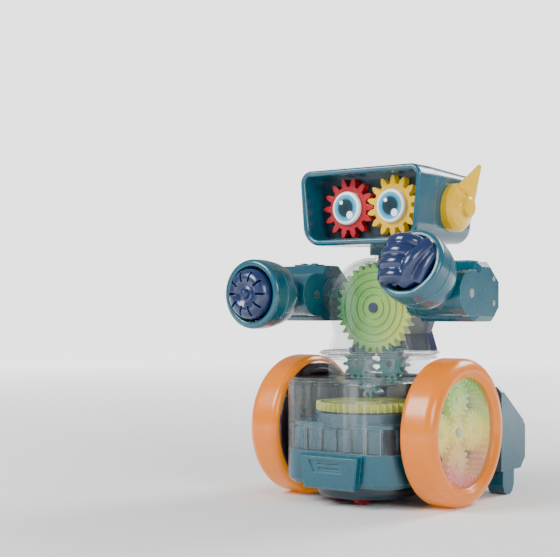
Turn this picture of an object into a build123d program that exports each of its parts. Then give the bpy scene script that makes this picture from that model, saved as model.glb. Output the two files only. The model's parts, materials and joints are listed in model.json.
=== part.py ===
from build123d import *
from math import acos, atan2, cos, degrees, hypot, pi, radians, sin, sqrt, tan
import os

# A walking gear robot: two big planetary wheels, a clear base and chest with a
# turning gear train, a visor head with two meshed eye gears, two jointed arms and
# a swivelling drive unit underneath. Front is -Y, +X is the robot's left side.
# Every reach named *_reach is measured along Y from the axle of the big wheels.

# ------------------------------------------------------------ driving sizes (mm)
wall = 1.6                  # clear covers
tray_wall = 2.0             # opaque casings
part_gap = 0.4              # between a moving piece and what it passes
run_fit = 0.08              # radial play of a shaft in its bore
seat_fit = 0.05             # radial play of a pressed or snapped piece

wheel_radius = 42.5
wheel_inside = 43.0         # inner face of each big wheel, from the middle
wheel_width = 22.0
window_radius = 31.5        # clear view into each big wheel
wheel_bore = 33.0           # inside of the orange rim
tread_round = 6.5           # rounding of the rim's outer shoulder
axle_radius = 2.5
wheel_module = 1.25
ring_teeth = 48
sun_teeth = 12
planet_teeth = 18
planet_count = 4
wheel_gear_width = 5.0

body_half_width = 40.0
bumper_reach = 44.0         # front of the bumper
cowl_rear_reach = 23.0      # where the clear cowl meets the rear housing
tray_bottom = 12.0
tray_top = 31.5
cowl_top = 73.0
bumper_corner = 15.0

waist_half_width = 26.0
waist_front_reach = 16.0
waist_top = 86.0
flange_radius = 35.0
flange_thickness = 2.5

chest_height = 114.0        # axis of the chest gear
chest_front_reach = 9.0
chest_rear_reach = 15.0
back_cover_depth = 8.0
chest_module = 1.6
chest_teeth = 32
waist_teeth = 12
pinion_teeth = 8
waist_gear_offset = 11.7
chest_gear_width = 6.0
chest_pin_radius = 3.0
waist_pin_radius = 2.0
pinion_offset = -3.0
motor_shaft_radius = 1.5

deck_height = 45.5
deck_drum_radius = 32.0
deck_drum_top = 53.0
crown_module = 1.25
crown_teeth = 48
crown_width = 4.8
steer_teeth = 10
steer_bearing = 40.0        # degrees, from straight back to the robot's left

turntable_reach = 8.0
turntable_radius = 31.0
turntable_drum = 26.3
turntable_bottom = 4.0
turntable_yaw = -15.0
drive_wheel_radius = 7.5
drive_wheel_width = 6.0
drive_wheel_spread = 10.5
drive_wheel_lead = 14.0
drive_axle_radius = 1.5
steer_shaft_radius = 2.4

rear_half_width = 60.0
rear_wall_reach = 80.0
rear_step_reach = 46.0
rear_floor = 15.0
rear_roof = 66.0
foot_width = 11.0
foot_length = 14.0
cell_radius = 7.25
cell_length = 50.5
cell_gap = 0.5
door_half_width = 28.0
switch_x = 44.0
switch_height = 31.0
switch_travel = 2.5         # each way from the middle
switch_stand = 1.8          # how far the knob stands out of the rear wall

head_bottom = 151.0
head_height = 45.0
head_half_width = 43.5
head_chin_half_width = 40.0
head_front_reach = 19.0
head_rear_reach = 47.0
bezel_depth = 18.0
bezel_lip = 3.6
head_taper = 2.5
head_seam = 174.0
neck_reach = 9.0            # behind the axle
neck_radius = 9.0
neck_pin_radius = 4.0
eye_module = 2.28
eye_teeth = 14
eye_gear_width = 5.2
eye_height = 173.6
eye_post_radius = 6.0
eye_radius = 10.0
ear_radius = 14.3
ear_reach = 20.0
ear_height = 173.0
ear_cap_out = 54.0

arm_spacing = 54.0          # each arm's own middle plane, from the middle
block_width = 37.0
block_half_height = 17.0
shoulder_height = 122.0
shoulder_reach = 4.0
shoulder_pin_radius = 4.0
block_rear_reach = 22.0
block_front_reach = 8.0
elbow_reach = 12.0
cheek_width = 4.6
knuckle_radius = 12.5
elbow_pin_radius = 2.5
cup_radius = 20.5
cup_length = 40.0
cup_opening = 16.5
left_arm_lift = 24.0        # degrees, the left forearm at rest
right_arm_lift = 0.0
nozzle_reach = 47.0         # from the elbow to the nozzle's tip
hand_seat = 10.0            # depth of each hand's seat inside its cup
palm_width = 22.0
palm_height = 26.0
palm_depth = 14.0
finger_count = 4
finger_pitch = 7.2
finger_depth = 10.5
finger_length = 19.0
finger_middle = 14.5        # from the seat to the middle of the fingers

# ------------------------------------------------------------- worked-out places
fist_reach = cup_length - hand_seat + finger_middle + finger_depth / 2 - 0.7
fist_drop = finger_pitch * finger_count / 2 - 0.1
lifted_fist = fist_reach * cos(radians(left_arm_lift)) + fist_drop * sin(radians(left_arm_lift))
front_reach = elbow_reach + max(nozzle_reach, lifted_fist)
axle_y = (front_reach - rear_wall_reach - switch_stand) / 2
axle_z = wheel_radius
sun_radius = wheel_module * sun_teeth / 2
planet_radius = wheel_module * planet_teeth / 2
carrier_radius = sun_radius + planet_radius
wheel_outside = wheel_inside + wheel_width
plate_inside = wheel_inside + 1.5
ring_inside = plate_inside + 2.0
cover_inside = wheel_outside - 6.0
lip_inside = cover_inside + 2.0
carrier_inside = ring_inside + 2.8
planet_inside = carrier_inside + 2.3
axle_reach = planet_inside + wheel_gear_width + 1.0

chest_pitch = chest_module * chest_teeth / 2
waist_pitch = chest_module * waist_teeth / 2
pinion_pitch = chest_module * pinion_teeth / 2
chest_gear_tip = chest_pitch + chest_module
chest_inner = chest_gear_tip + 0.7
chest_outer = chest_inner + wall
waist_gear_height = chest_height - sqrt((chest_pitch + waist_pitch) ** 2 - waist_gear_offset ** 2)
pinion_drop = sqrt((waist_pitch + pinion_pitch) ** 2 - (waist_gear_offset + pinion_offset) ** 2)
pinion_height = waist_gear_height - pinion_drop
chest_foot = waist_top + flange_thickness

crown_pitch = crown_module * crown_teeth / 2
steer_pitch = crown_module * steer_teeth / 2
crown_bottom = deck_drum_top + 1.0
steer_x = (crown_pitch + steer_pitch) * sin(radians(steer_bearing))
turntable_y = axle_y - turntable_reach
steer_y = turntable_y + (crown_pitch + steer_pitch) * cos(radians(steer_bearing))

eye_pitch = eye_module * eye_teeth / 2
neck_y = axle_y + neck_reach
head_top = head_bottom + head_height
neck_seat = chest_height + chest_outer + 1.6
cheek_inner = block_width / 2 - cheek_width
cell_low = rear_floor + 2.0 + 1.0 + cell_radius
cell_first = rear_step_reach + tray_wall + cell_radius + cell_gap


# ------------------------------------------------------------------ small helpers
def front_plane(y):
    """Upright plane across the robot: sketch x is X, sketch y is Z, normal is -Y."""
    return Plane(origin=(0, y, 0), x_dir=(1, 0, 0), z_dir=(0, -1, 0))


def side_plane(x):
    """Upright plane along the robot: sketch x is Y, sketch y is Z, normal is +X."""
    return Plane(origin=(x, 0, 0), x_dir=(0, 1, 0), z_dir=(1, 0, 0))


def wheel_plane(x):
    """Side plane with its origin on the axle of the big wheels."""
    return Plane(origin=(x, axle_y, axle_z), x_dir=(0, 1, 0), z_dir=(1, 0, 0))


def gear_outline(teeth, module, turn=0.0, internal=False, play=0.22):
    """Closed outline of a spur gear with involute flanks, centred on the origin.

    turn is the angle of a tooth's middle (of a gap's middle when internal), in
    degrees, and play thins each flank so that two meshed gears keep a backlash.
    """
    pressure = radians(25)
    pitch_r = module * teeth / 2
    base_r = pitch_r * cos(pressure)
    add = 0.92 * module
    ded = 1.25 * module
    low_r = pitch_r - (add if internal else ded)
    high_r = pitch_r + (ded if internal else add)
    widen = play if internal else -play
    half_pitch = pi / (2 * teeth) + widen / pitch_r
    involute_at_pitch = tan(pressure) - pressure

    def half_angle(radius):
        if radius <= base_r:
            return half_pitch + involute_at_pitch
        slope = acos(base_r / radius)
        return half_pitch + involute_at_pitch - (tan(slope) - slope)

    radii = [low_r, max(low_r, base_r), pitch_r, (pitch_r + high_r) / 2, high_r]
    points = []
    for tooth in range(teeth):
        middle = radians(turn) + 2 * pi * tooth / teeth
        for radius in radii:
            points.append((radius, middle - half_angle(radius)))
        for radius in reversed(radii):
            points.append((radius, middle + half_angle(radius)))
    flat = [(r * cos(a), r * sin(a)) for r, a in points]
    return [p for i, p in enumerate(flat) if hypot(p[0] - flat[i - 1][0], p[1] - flat[i - 1][1]) > 0.01]


def mesh_turn(turn, teeth, line, other_teeth):
    """Turn of a gear that meshes with one at `turn`, lying in direction `line` from it."""
    ahead = ((turn - line) * teeth / 360) % 1
    return line + 180 + (0.5 - ahead) * 360 / other_teeth


def corner(profile, x, y):
    """Vertex of a profile that lies nearest to a point."""
    return profile.vertices().sort_by_distance((x, y, 0))[0]


def export(piece, name):
    piece.part.label = name
    export_step(piece.part, f"parts/{name}.step")


# ---------------------------------------------------------------------- big wheels
wheel_axis = Axis((0, axle_y, axle_z), (1, 0, 0))


def wheel_section(side):
    """Plane through the wheel axle: sketch x runs outward, sketch y is the radius."""
    return Plane(origin=(0, axle_y, axle_z), x_dir=(side, 0, 0), z_dir=(0, -side, 0))


def wheel_rim(side):
    """Orange rim: rounded tread, bore for the gear cup and a lip that holds the cover."""
    with BuildPart() as rim:
        with BuildSketch(wheel_section(side)) as profile:
            with BuildLine():
                Polyline(
                    (wheel_inside, wheel_bore + seat_fit),
                    (wheel_inside, wheel_radius),
                    (wheel_outside, wheel_radius),
                    (wheel_outside, window_radius + 3.5),
                    (wheel_outside - 2.5, window_radius),
                    (lip_inside, window_radius),
                    (lip_inside, wheel_bore + seat_fit),
                    close=True,
                )
            make_face()
            fillet(corner(profile, wheel_inside, wheel_radius), radius=4.0)
            fillet(corner(profile, wheel_outside, wheel_radius), radius=tread_round)
            fillet(corner(profile, wheel_outside, window_radius + 3.5), radius=1.5)
            fillet(corner(profile, wheel_outside - 2.5, window_radius), radius=0.8)
        revolve(axis=wheel_axis)
    return rim


def wheel_inner_gear(side):
    """Dark cup pressed into the rim: back plate, hub and the internal ring gear."""
    with BuildPart() as cup:
        with BuildSketch(wheel_plane(side * plate_inside)):
            Circle(wheel_bore)
        extrude(amount=side * (ring_inside - plate_inside))
        with BuildSketch(wheel_plane(side * ring_inside)):
            Circle(wheel_bore)
            Polygon(*gear_outline(ring_teeth, wheel_module, internal=True), align=None, mode=Mode.SUBTRACT)
        extrude(amount=side * (cover_inside - ring_inside))
        with BuildSketch(wheel_plane(side * (wheel_inside + 0.5))):
            Circle(axle_radius + 3.5)
        extrude(amount=side * (carrier_inside - wheel_inside - 0.5 - part_gap))
        with BuildSketch(wheel_plane(side * wheel_inside)):
            Circle(axle_radius + run_fit)
        extrude(amount=side * wheel_width, mode=Mode.SUBTRACT)
    return cup


def wheel_cover(side):
    """Clear window: a flange held behind the rim's lip and a shallow raised face."""
    with BuildPart() as cover:
        with BuildSketch(wheel_section(side)):
            with BuildLine():
                Polyline(
                    (cover_inside, 0),
                    (cover_inside, wheel_bore),
                    (lip_inside, wheel_bore),
                    (lip_inside, window_radius - seat_fit),
                    (lip_inside + 1.4, window_radius - 1.2),
                    (lip_inside + 2.4, window_radius - 8),
                    (lip_inside + 2.8, 0),
                    close=True,
                )
            make_face()
        revolve(axis=wheel_axis)
    return cover


def planet_place(index):
    """Direction of one planet gear round the axle, in degrees from the front-back line."""
    return 360 * index / planet_count


def planet_centre(index):
    angle = radians(planet_place(index))
    return (carrier_radius * cos(angle), carrier_radius * sin(angle))


def wheel_sun_gear(side):
    """Sun gear that turns on the end of the axle."""
    with BuildPart() as sun:
        with BuildSketch(wheel_plane(side * planet_inside)):
            Polygon(*gear_outline(sun_teeth, wheel_module, 180 / sun_teeth), align=None)
            Circle(axle_radius + run_fit, mode=Mode.SUBTRACT)
        extrude(amount=side * wheel_gear_width)
    return sun


def wheel_planet_gear(side, index):
    """Planet gear between the sun and the ring, on one pin of the carrier."""
    with BuildPart() as planet:
        with BuildSketch(wheel_plane(side * planet_inside)):
            with Locations(planet_centre(index)):
                Polygon(*gear_outline(planet_teeth, wheel_module, planet_place(index)), align=None)
                Circle(waist_pin_radius + run_fit, mode=Mode.SUBTRACT)
        extrude(amount=side * wheel_gear_width)
        with BuildSketch(wheel_plane(side * (planet_inside + wheel_gear_width))):
            with Locations(planet_centre(index)):
                Circle(planet_radius - 1.8)
                Circle(planet_radius - 4.4, mode=Mode.SUBTRACT)
        extrude(amount=-side * 0.8, mode=Mode.SUBTRACT)
    return planet


def planet_carriers():
    """One fixed cross on each end of the axle, with a pin for every planet gear."""
    with BuildPart() as carriers:
        for side in (-1, 1):
            with BuildSketch(wheel_plane(side * carrier_inside)):
                Circle(axle_radius + 4)
                for index in range(planet_count):
                    with Locations(Location((0, 0, 0), (0, 0, planet_place(index)))):
                        SlotCenterPoint((carrier_radius / 2, 0), (carrier_radius, 0), 6.5)
                Circle(axle_radius, mode=Mode.SUBTRACT)
            extrude(amount=side * (planet_inside - carrier_inside - part_gap))
            with BuildSketch(wheel_plane(side * (planet_inside - part_gap))):
                for index in range(planet_count):
                    with Locations(planet_centre(index)):
                        Circle(waist_pin_radius)
            extrude(amount=side * (wheel_gear_width + part_gap + 0.6))
    return carriers


def wheel_axle():
    """Steel axle through the chassis; both wheels turn on it."""
    with BuildPart() as axle:
        with BuildSketch(wheel_plane(-axle_reach)):
            Circle(axle_radius)
        extrude(amount=2 * axle_reach)
    return axle


# ------------------------------------------------------------------------- chassis
def body_outline(inset=0.0, rear_reach=rear_step_reach):
    """Plan of the base: square at the rear, rounded front corners."""
    width = 2 * (body_half_width - inset)
    length = bumper_reach + rear_reach - inset
    middle = axle_y - bumper_reach + inset + length / 2
    with Locations((0, middle)):
        plan = Rectangle(width, length)
    fillet(plan.vertices().group_by(Axis.Y)[0], bumper_corner - inset)


def axle_cheek_sketch():
    with Locations((axle_y, (tray_bottom + tray_wall + deck_height) / 2)):
        Rectangle(12, deck_height - tray_bottom - tray_wall)


def base_tray():
    """Teal bumper and floor pan, with the front badge plate and a hole for the turntable."""
    with BuildPart() as tray:
        with BuildSketch(Plane.XY.offset(tray_bottom)):
            body_outline()
        extrude(amount=tray_top - tray_bottom)
        low_front = tray.edges().group_by(Axis.Z)[0].filter_by(lambda e: e.center().Y < axle_y + 20)
        chamfer(low_front, length=3.0)
        with BuildSketch(Plane.XY.offset(tray_bottom + tray_wall)):
            body_outline(tray_wall, rear_step_reach - tray_wall)
        extrude(amount=tray_top - tray_bottom, mode=Mode.SUBTRACT)
        with BuildSketch(front_plane(axle_y - bumper_reach + tray_wall)):
            with BuildLine():
                Polyline(
                    (-20, tray_top - 1.2),
                    (20, tray_top - 1.2),
                    (17.5, tray_bottom - 1),
                    (-17.5, tray_bottom - 1),
                    close=True,
                )
            make_face()
        extrude(amount=tray_wall + 5.0)
        badge_front = tray.faces().sort_by(Axis.Y)[0]
        chamfer(badge_front.edges(), length=1.0)
        with BuildSketch(front_plane(axle_y - bumper_reach - 5.0)):
            with BuildLine():
                Polyline(
                    (-14, tray_top - 4),
                    (14, tray_top - 4),
                    (10.5, tray_top - 11),
                    (-10.5, tray_top - 11),
                    close=True,
                )
            make_face()
        extrude(amount=-0.8, mode=Mode.SUBTRACT)
        with BuildSketch(front_plane(axle_y - bumper_reach - 4.2)):
            with Locations((0, tray_top - 6.2), (0, tray_top - 8.8)):
                Rectangle(15, 0.9)
        extrude(amount=-0.8, mode=Mode.SUBTRACT)
        with BuildSketch(Plane.XY.offset(tray_bottom)):
            with Locations((0, turntable_y)):
                Circle(turntable_drum + part_gap)
        extrude(amount=tray_wall, mode=Mode.SUBTRACT)
    return tray


def grille_insert():
    """Stepped teal block behind the grille ribs, standing on the bumper's floor."""
    front = axle_y - bumper_reach + 6.0
    with BuildPart() as insert:
        with BuildSketch(Plane.XY.offset(tray_bottom + tray_wall)):
            with Locations((0, front + 1.0)):
                Rectangle(60, 2.0)
        extrude(amount=deck_height - tray_bottom - tray_wall)
        with BuildSketch(Plane.XY.offset(tray_top)):
            with Locations((0, front - 0.5)):
                with GridLocations(10.4, 0, 6, 1):
                    Rectangle(8.6, 3.0)
        extrude(amount=12.5)
    return insert


def front_cowl():
    """Clear shell over the front of the base, with thin upright ribs inside its front wall."""
    with BuildPart() as cowl:
        with BuildSketch(Plane.XY.offset(tray_top)):
            body_outline(0, cowl_rear_reach)
        extrude(amount=cowl_top - tray_top)
        top_front = cowl.faces().sort_by(Axis.Z)[-1].edges()
        top_front = top_front.filter_by(lambda e: e.center().Y < axle_y + cowl_rear_reach - 1)
        fillet(top_front, radius=4.0)
        with BuildSketch(Plane.XY.offset(tray_top)):
            body_outline(wall, cowl_rear_reach)
        extrude(amount=cowl_top - tray_top - wall, mode=Mode.SUBTRACT)
        with BuildSketch(Plane.XY.offset(tray_top)):
            with Locations((0, axle_y - bumper_reach + wall + 0.9)):
                with GridLocations(10.4, 0, 7, 1):
                    Rectangle(1.0, 2.0)
        extrude(amount=14.5)
        with BuildSketch(Plane.XY.offset(cowl_top - wall)):
            with Locations((0, axle_y + (cowl_rear_reach - waist_front_reach) / 2)):
                Rectangle(2 * (waist_half_width - wall), cowl_rear_reach + waist_front_reach - 2 * wall)
        extrude(amount=wall, mode=Mode.SUBTRACT)
        with BuildSketch(wheel_plane(-body_half_width)):
            Circle(axle_radius + 0.3)
        extrude(amount=2 * body_half_width, mode=Mode.SUBTRACT)
    return cowl


def gear_deck():
    """Teal deck: round drum under the crown gear, posts to the floor and axle cheeks."""
    post_reach = 31.0
    with BuildPart() as deck:
        with BuildSketch(Plane.XY.offset(deck_height)):
            with Locations((0, axle_y - 11)):
                RectangleRounded(2 * (body_half_width - 3), 54, 10)
        extrude(amount=2.0)
        with BuildSketch(Plane.XY.offset(deck_height)):
            with Locations((0, turntable_y)):
                Circle(deck_drum_radius)
        extrude(amount=deck_drum_top - deck_height)
        with BuildSketch(Plane.XY.offset(deck_height)):
            with Locations((0, turntable_y)):
                Circle(deck_drum_radius - 2)
                Circle(steer_shaft_radius + 3, mode=Mode.SUBTRACT)
        extrude(amount=deck_drum_top - deck_height - 1.6, mode=Mode.SUBTRACT)
        with BuildSketch(Plane.XY.offset(tray_bottom + tray_wall)):
            with Locations((-post_reach, axle_y - 24), (post_reach, axle_y - 24)):
                Circle(2.5)
        extrude(amount=deck_height - tray_bottom - tray_wall)
        for side in (-1, 1):
            with BuildSketch(side_plane(side * (body_half_width - 5.5))):
                axle_cheek_sketch()
            extrude(amount=side * 3.0)
        with BuildSketch(wheel_plane(-body_half_width)):
            Circle(axle_radius)
        extrude(amount=2 * body_half_width, mode=Mode.SUBTRACT)
        with BuildSketch(Plane.XY.offset(deck_height - 1)):
            with Locations((0, turntable_y)):
                Circle(steer_shaft_radius + run_fit)
        extrude(amount=20, mode=Mode.SUBTRACT)
    return deck


def waist_deck():
    """Clear box and round flange under the chest, with the pins of the waist gears."""
    middle = axle_y + (cowl_rear_reach - waist_front_reach) / 2
    length = cowl_rear_reach + waist_front_reach
    with BuildPart() as deck:
        with BuildSketch(Plane.XY.offset(cowl_top)):
            with Locations((0, middle)):
                RectangleRounded(2 * waist_half_width, length, 5)
        extrude(amount=waist_top - cowl_top)
        with BuildSketch(Plane.XY.offset(cowl_top)):
            with Locations((0, middle)):
                RectangleRounded(2 * (waist_half_width - wall), length - 2 * wall, 5 - wall)
        extrude(amount=waist_top - cowl_top, mode=Mode.SUBTRACT)
        with BuildSketch(Plane.XY.offset(waist_top)):
            with Locations((0, middle)):
                Circle(flange_radius)
        extrude(amount=flange_thickness)
        slot_half = waist_gear_offset + waist_pitch + chest_module + 1.0
        with BuildSketch(Plane.XY.offset(waist_top)):
            with Locations((0, axle_y)):
                Rectangle(2 * slot_half, chest_gear_width + 2.4)
        extrude(amount=flange_thickness, mode=Mode.SUBTRACT)
        with BuildSketch(front_plane(axle_y + cowl_rear_reach - wall / 2)):
            with Locations((-waist_gear_offset, waist_gear_height), (waist_gear_offset, waist_gear_height)):
                Circle(waist_pin_radius)
        extrude(amount=cowl_rear_reach - wall / 2 + chest_gear_width / 2 + 0.8)
    return deck


def screw_places():
    reaches = (rear_step_reach + 5, rear_wall_reach - 9)
    return [(x, axle_y + y) for x in (-44, 44) for y in reaches]


def chassis_screws():
    """Four pan-head screws that hold the rear housing's floor, heads underneath."""
    with BuildPart() as screws:
        for x, y in screw_places():
            with BuildSketch(Plane.XY.offset(rear_floor)):
                with Locations((x, y)):
                    Circle(2.6)
            extrude(amount=-1.4)
            with BuildSketch(Plane.XY.offset(rear_floor)):
                with Locations((x, y)):
                    Circle(1.2)
            extrude(amount=tray_wall + 5)
            with BuildSketch(Plane.XY.offset(rear_floor - 1.4)):
                with Locations((x, y)):
                    Rectangle(3.6, 0.7)
                    Rectangle(0.7, 3.6)
            extrude(amount=0.8, mode=Mode.SUBTRACT)
    return screws


# --------------------------------------------------------------------------- chest
def chest_outline(radius, foot_half, foot_drop=0.0):
    """Front view of the chest: a round drum on a flared foot."""
    with Locations((0, chest_height)):
        Circle(radius)
    Polygon(
        (-foot_half - 3, chest_foot - foot_drop),
        (foot_half + 3, chest_foot - foot_drop),
        (foot_half - 1, chest_foot + 12),
        (-foot_half + 1, chest_foot + 12),
        align=None,
    )
    below = chest_foot - foot_drop
    with Locations((0, below - 10)):
        Rectangle(2 * foot_half + 10, 20, mode=Mode.SUBTRACT)


def torso_front_shell():
    """Clear drum in front of the chest gear, with shoulder bosses and the neck seat."""
    front = axle_y - chest_front_reach
    rear = axle_y + chest_rear_reach
    with BuildPart() as shell:
        with BuildSketch(front_plane(front)):
            chest_outline(chest_outer, 26)
        extrude(amount=front - rear)
        fillet(shell.faces().sort_by(Axis.Y)[0].edges().filter_by(GeomType.CIRCLE), radius=2.4)
        with BuildSketch(side_plane(-arm_spacing + block_width / 2 + part_gap)):
            with Locations((axle_y + shoulder_reach, shoulder_height)):
                Circle(10.5)
        extrude(amount=2 * (arm_spacing - block_width / 2 - part_gap))
        with BuildSketch(Plane.XY.offset(chest_height + chest_inner - 6)):
            with Locations((0, neck_y)):
                Circle(neck_radius - seat_fit - 3)
        extrude(amount=neck_seat - chest_height - chest_inner + 6)
        with BuildSketch(front_plane(front + wall)):
            chest_outline(chest_inner, 26 - wall, foot_drop=1.0)
        extrude(amount=front + wall - rear, mode=Mode.SUBTRACT)
        with BuildSketch(Plane.XY.offset(chest_height)):
            with Locations((0, neck_y)):
                Circle(neck_pin_radius + run_fit)
        extrude(amount=neck_seat - chest_height + 1, mode=Mode.SUBTRACT)
        with BuildSketch(side_plane(-arm_spacing)):
            with Locations((axle_y + shoulder_reach, shoulder_height)):
                Circle(shoulder_pin_radius + run_fit)
        extrude(amount=2 * arm_spacing, mode=Mode.SUBTRACT)
    return shell


def torso_back_cover():
    """Dark blue cap behind the chest, with the pin that the chest gear turns on."""
    rear = axle_y + chest_rear_reach
    with BuildPart() as cover:
        with BuildSketch(front_plane(rear)):
            chest_outline(chest_outer, 26)
        extrude(amount=-back_cover_depth)
        fillet(cover.faces().sort_by(Axis.Y)[-1].edges().filter_by(GeomType.CIRCLE), radius=3.0)
        with BuildSketch(front_plane(rear)):
            with Locations((0, chest_height)):
                Circle(chest_inner - 2)
                Circle(chest_pin_radius + 2, mode=Mode.SUBTRACT)
        extrude(amount=-5.0, mode=Mode.SUBTRACT)
        with BuildSketch(front_plane(rear)):
            with Locations((0, chest_height)):
                Circle(chest_pin_radius + 2)
        extrude(amount=chest_rear_reach - chest_gear_width / 2 - part_gap)
        with BuildSketch(front_plane(rear)):
            with Locations((0, chest_height)):
                Circle(chest_pin_radius)
        extrude(amount=chest_rear_reach + chest_gear_width / 2 + 1.2)
    return cover


def spur_gear(teeth, x, z, turn, bore, width=chest_gear_width):
    """Upright gear on the chest gear's plane."""
    with BuildPart() as gear:
        with BuildSketch(front_plane(axle_y - width / 2)):
            with Locations((x, z)):
                Polygon(*gear_outline(teeth, chest_module, turn), align=None)
                Circle(bore + run_fit, mode=Mode.SUBTRACT)
        extrude(amount=-width)
    return gear


def torso_gear():
    """Big chest gear with rings turned into its front face."""
    blank = spur_gear(chest_teeth, 0, chest_height, 90, chest_pin_radius)
    with BuildPart() as gear:
        add(blank.part)
        with BuildSketch(front_plane(axle_y - chest_gear_width / 2)):
            with Locations((0, chest_height)):
                for ring in range(4):
                    Circle(chest_pitch - 4 - 4.5 * ring)
                    Circle(chest_pitch - 5.4 - 4.5 * ring, mode=Mode.SUBTRACT)
        extrude(amount=-1.2, mode=Mode.SUBTRACT)
    return gear


def waist_gear_turn(side):
    line = degrees(atan2(waist_gear_height - chest_height, side * waist_gear_offset))
    return mesh_turn(90, chest_teeth, line, waist_teeth)


def waist_gear(side):
    """Small gear under the chest gear, with a raised hub ring."""
    x = side * waist_gear_offset
    hub_rise = 0.6
    blank = spur_gear(waist_teeth, x, waist_gear_height, waist_gear_turn(side), waist_pin_radius)
    with BuildPart() as gear:
        add(blank.part)
        with BuildSketch(front_plane(axle_y - chest_gear_width / 2 - hub_rise)):
            with Locations((x, waist_gear_height)):
                Circle(waist_pin_radius + 3)
                Circle(waist_pin_radius + run_fit, mode=Mode.SUBTRACT)
        extrude(amount=-(hub_rise + chest_gear_width / 2))
    return gear


def motor_pinion():
    """Drive pinion on the motor's output shaft, meshing with the robot's right waist gear."""
    line = degrees(atan2(pinion_height - waist_gear_height, pinion_offset + waist_gear_offset))
    turn = mesh_turn(waist_gear_turn(-1), waist_teeth, line, pinion_teeth)
    return spur_gear(pinion_teeth, pinion_offset, pinion_height, turn, motor_shaft_radius)


# ------------------------------------------------------------------ turning drive
def turntable_disc():
    """Round dish under the base with two wheel wells and the steering shaft."""
    floor = tray_bottom - 0.3
    with BuildPart() as disc:
        with BuildSketch(Plane.XY.offset(turntable_bottom)):
            with Locations((0, turntable_y)):
                Circle(turntable_radius)
        extrude(amount=floor - turntable_bottom)
        fillet(disc.edges().group_by(Axis.Z)[0], radius=4.0)
        with BuildSketch(Plane.XY.offset(floor)):
            with Locations((0, turntable_y)):
                Circle(turntable_drum)
        extrude(amount=6.3)
        with BuildSketch(Plane.XY.offset(floor)):
            with Locations((0, turntable_y)):
                Circle(steer_shaft_radius)
        extrude(amount=crown_bottom + crown_width - floor)
        turned = Plane(origin=(0, turntable_y, 0), x_dir=Vector(1, 0, 0).rotate(Axis.Z, turntable_yaw))
        for spread in (-drive_wheel_spread, drive_wheel_spread):
            inner = turned.from_local_coords(Vector(spread, -drive_wheel_lead, drive_wheel_radius))
            with BuildSketch(Plane(origin=inner, x_dir=turned.y_dir, z_dir=turned.x_dir)):
                Circle(drive_wheel_radius + 0.8)
            extrude(amount=drive_wheel_width / 2 + 0.8, both=True, mode=Mode.SUBTRACT)
        shaft = turned.from_local_coords(Vector(0, -drive_wheel_lead, drive_wheel_radius))
        with BuildSketch(Plane(origin=shaft, x_dir=turned.y_dir, z_dir=turned.x_dir)):
            Circle(drive_axle_radius + run_fit)
        extrude(amount=drive_wheel_spread + 6, both=True, mode=Mode.SUBTRACT)
    return disc


def crown_gear():
    """Wide yellow-green gear on top of the steering shaft."""
    with BuildPart() as gear:
        with BuildSketch(Plane.XY.offset(crown_bottom)):
            with Locations((0, turntable_y)):
                Polygon(*gear_outline(crown_teeth, crown_module), align=None)
                Circle(steer_shaft_radius, mode=Mode.SUBTRACT)
        extrude(amount=crown_width)
        with BuildSketch(Plane.XY.offset(crown_bottom + crown_width)):
            with Locations((0, turntable_y)):
                Circle(crown_pitch - 4)
                Circle(crown_pitch - 22, mode=Mode.SUBTRACT)
        extrude(amount=-1.5, mode=Mode.SUBTRACT)
    return gear


def steer_pinion():
    """Small pinion on the motor's upright shaft that turns the crown gear."""
    line = 90 - steer_bearing
    with BuildPart() as pinion:
        with BuildSketch(Plane.XY.offset(crown_bottom)):
            with Locations((steer_x, steer_y)):
                turn = mesh_turn(0, crown_teeth, line, steer_teeth)
                Polygon(*gear_outline(steer_teeth, crown_module, turn), align=None)
                Circle(motor_shaft_radius + run_fit, mode=Mode.SUBTRACT)
        extrude(amount=crown_width)
    return pinion


def drive_piece(half_length, radius, centres, bore):
    """Round pieces on the drive axle's line, turned with the turntable."""
    turned = Plane(origin=(0, turntable_y, 0), x_dir=Vector(1, 0, 0).rotate(Axis.Z, turntable_yaw))
    with BuildPart() as piece:
        for spread in centres:
            middle = turned.from_local_coords(Vector(spread, -drive_wheel_lead, drive_wheel_radius))
            with BuildSketch(Plane(origin=middle, x_dir=turned.y_dir, z_dir=turned.x_dir)):
                Circle(radius)
                if bore:
                    Circle(bore, mode=Mode.SUBTRACT)
            extrude(amount=half_length, both=True)
    return piece


def drive_wheels():
    """Two red rollers that push the robot along."""
    spreads = (-drive_wheel_spread, drive_wheel_spread)
    blank = drive_piece(drive_wheel_width / 2, drive_wheel_radius, spreads, drive_axle_radius)
    with BuildPart() as wheels:
        add(blank.part)
        rims = wheels.edges().filter_by(GeomType.CIRCLE).filter_by(lambda e: e.radius > drive_axle_radius + 1)
        chamfer(rims, length=0.7)
    return wheels


def drive_axle():
    return drive_piece(drive_wheel_spread + drive_wheel_width / 2 + 1.6, drive_axle_radius, (0,), 0)


def gear_motor():
    """Motor and gearbox block with an upright steering shaft and a level waist shaft."""
    low = tray_bottom + tray_wall
    block_front = axle_y + turntable_drum - turntable_reach + 2.0
    block_length = axle_y + rear_step_reach - tray_wall - 1.0 - block_front
    tower_y = steer_y + 7.0
    with BuildPart() as motor:
        with BuildSketch(Plane.XY.offset(low)):
            with Locations((0, block_front + block_length / 2)):
                Rectangle(60, block_length)
        extrude(amount=38.0 - low)
        with BuildSketch(Plane.XY.offset(low)):
            with Locations((pinion_offset, tower_y + 4)):
                Rectangle(14, 8)
        extrude(amount=pinion_height + motor_shaft_radius + 0.5 - low)
        with BuildSketch(front_plane(tower_y)):
            with Locations((pinion_offset, pinion_height)):
                Circle(motor_shaft_radius)
        extrude(amount=tower_y - axle_y + chest_gear_width / 2 + 0.6)
        with BuildSketch(Plane.XY.offset(low + 10)):
            with Locations((steer_x, steer_y)):
                Circle(motor_shaft_radius)
        extrude(amount=crown_bottom + crown_width + 0.6 - low - 10)
    return motor


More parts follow.
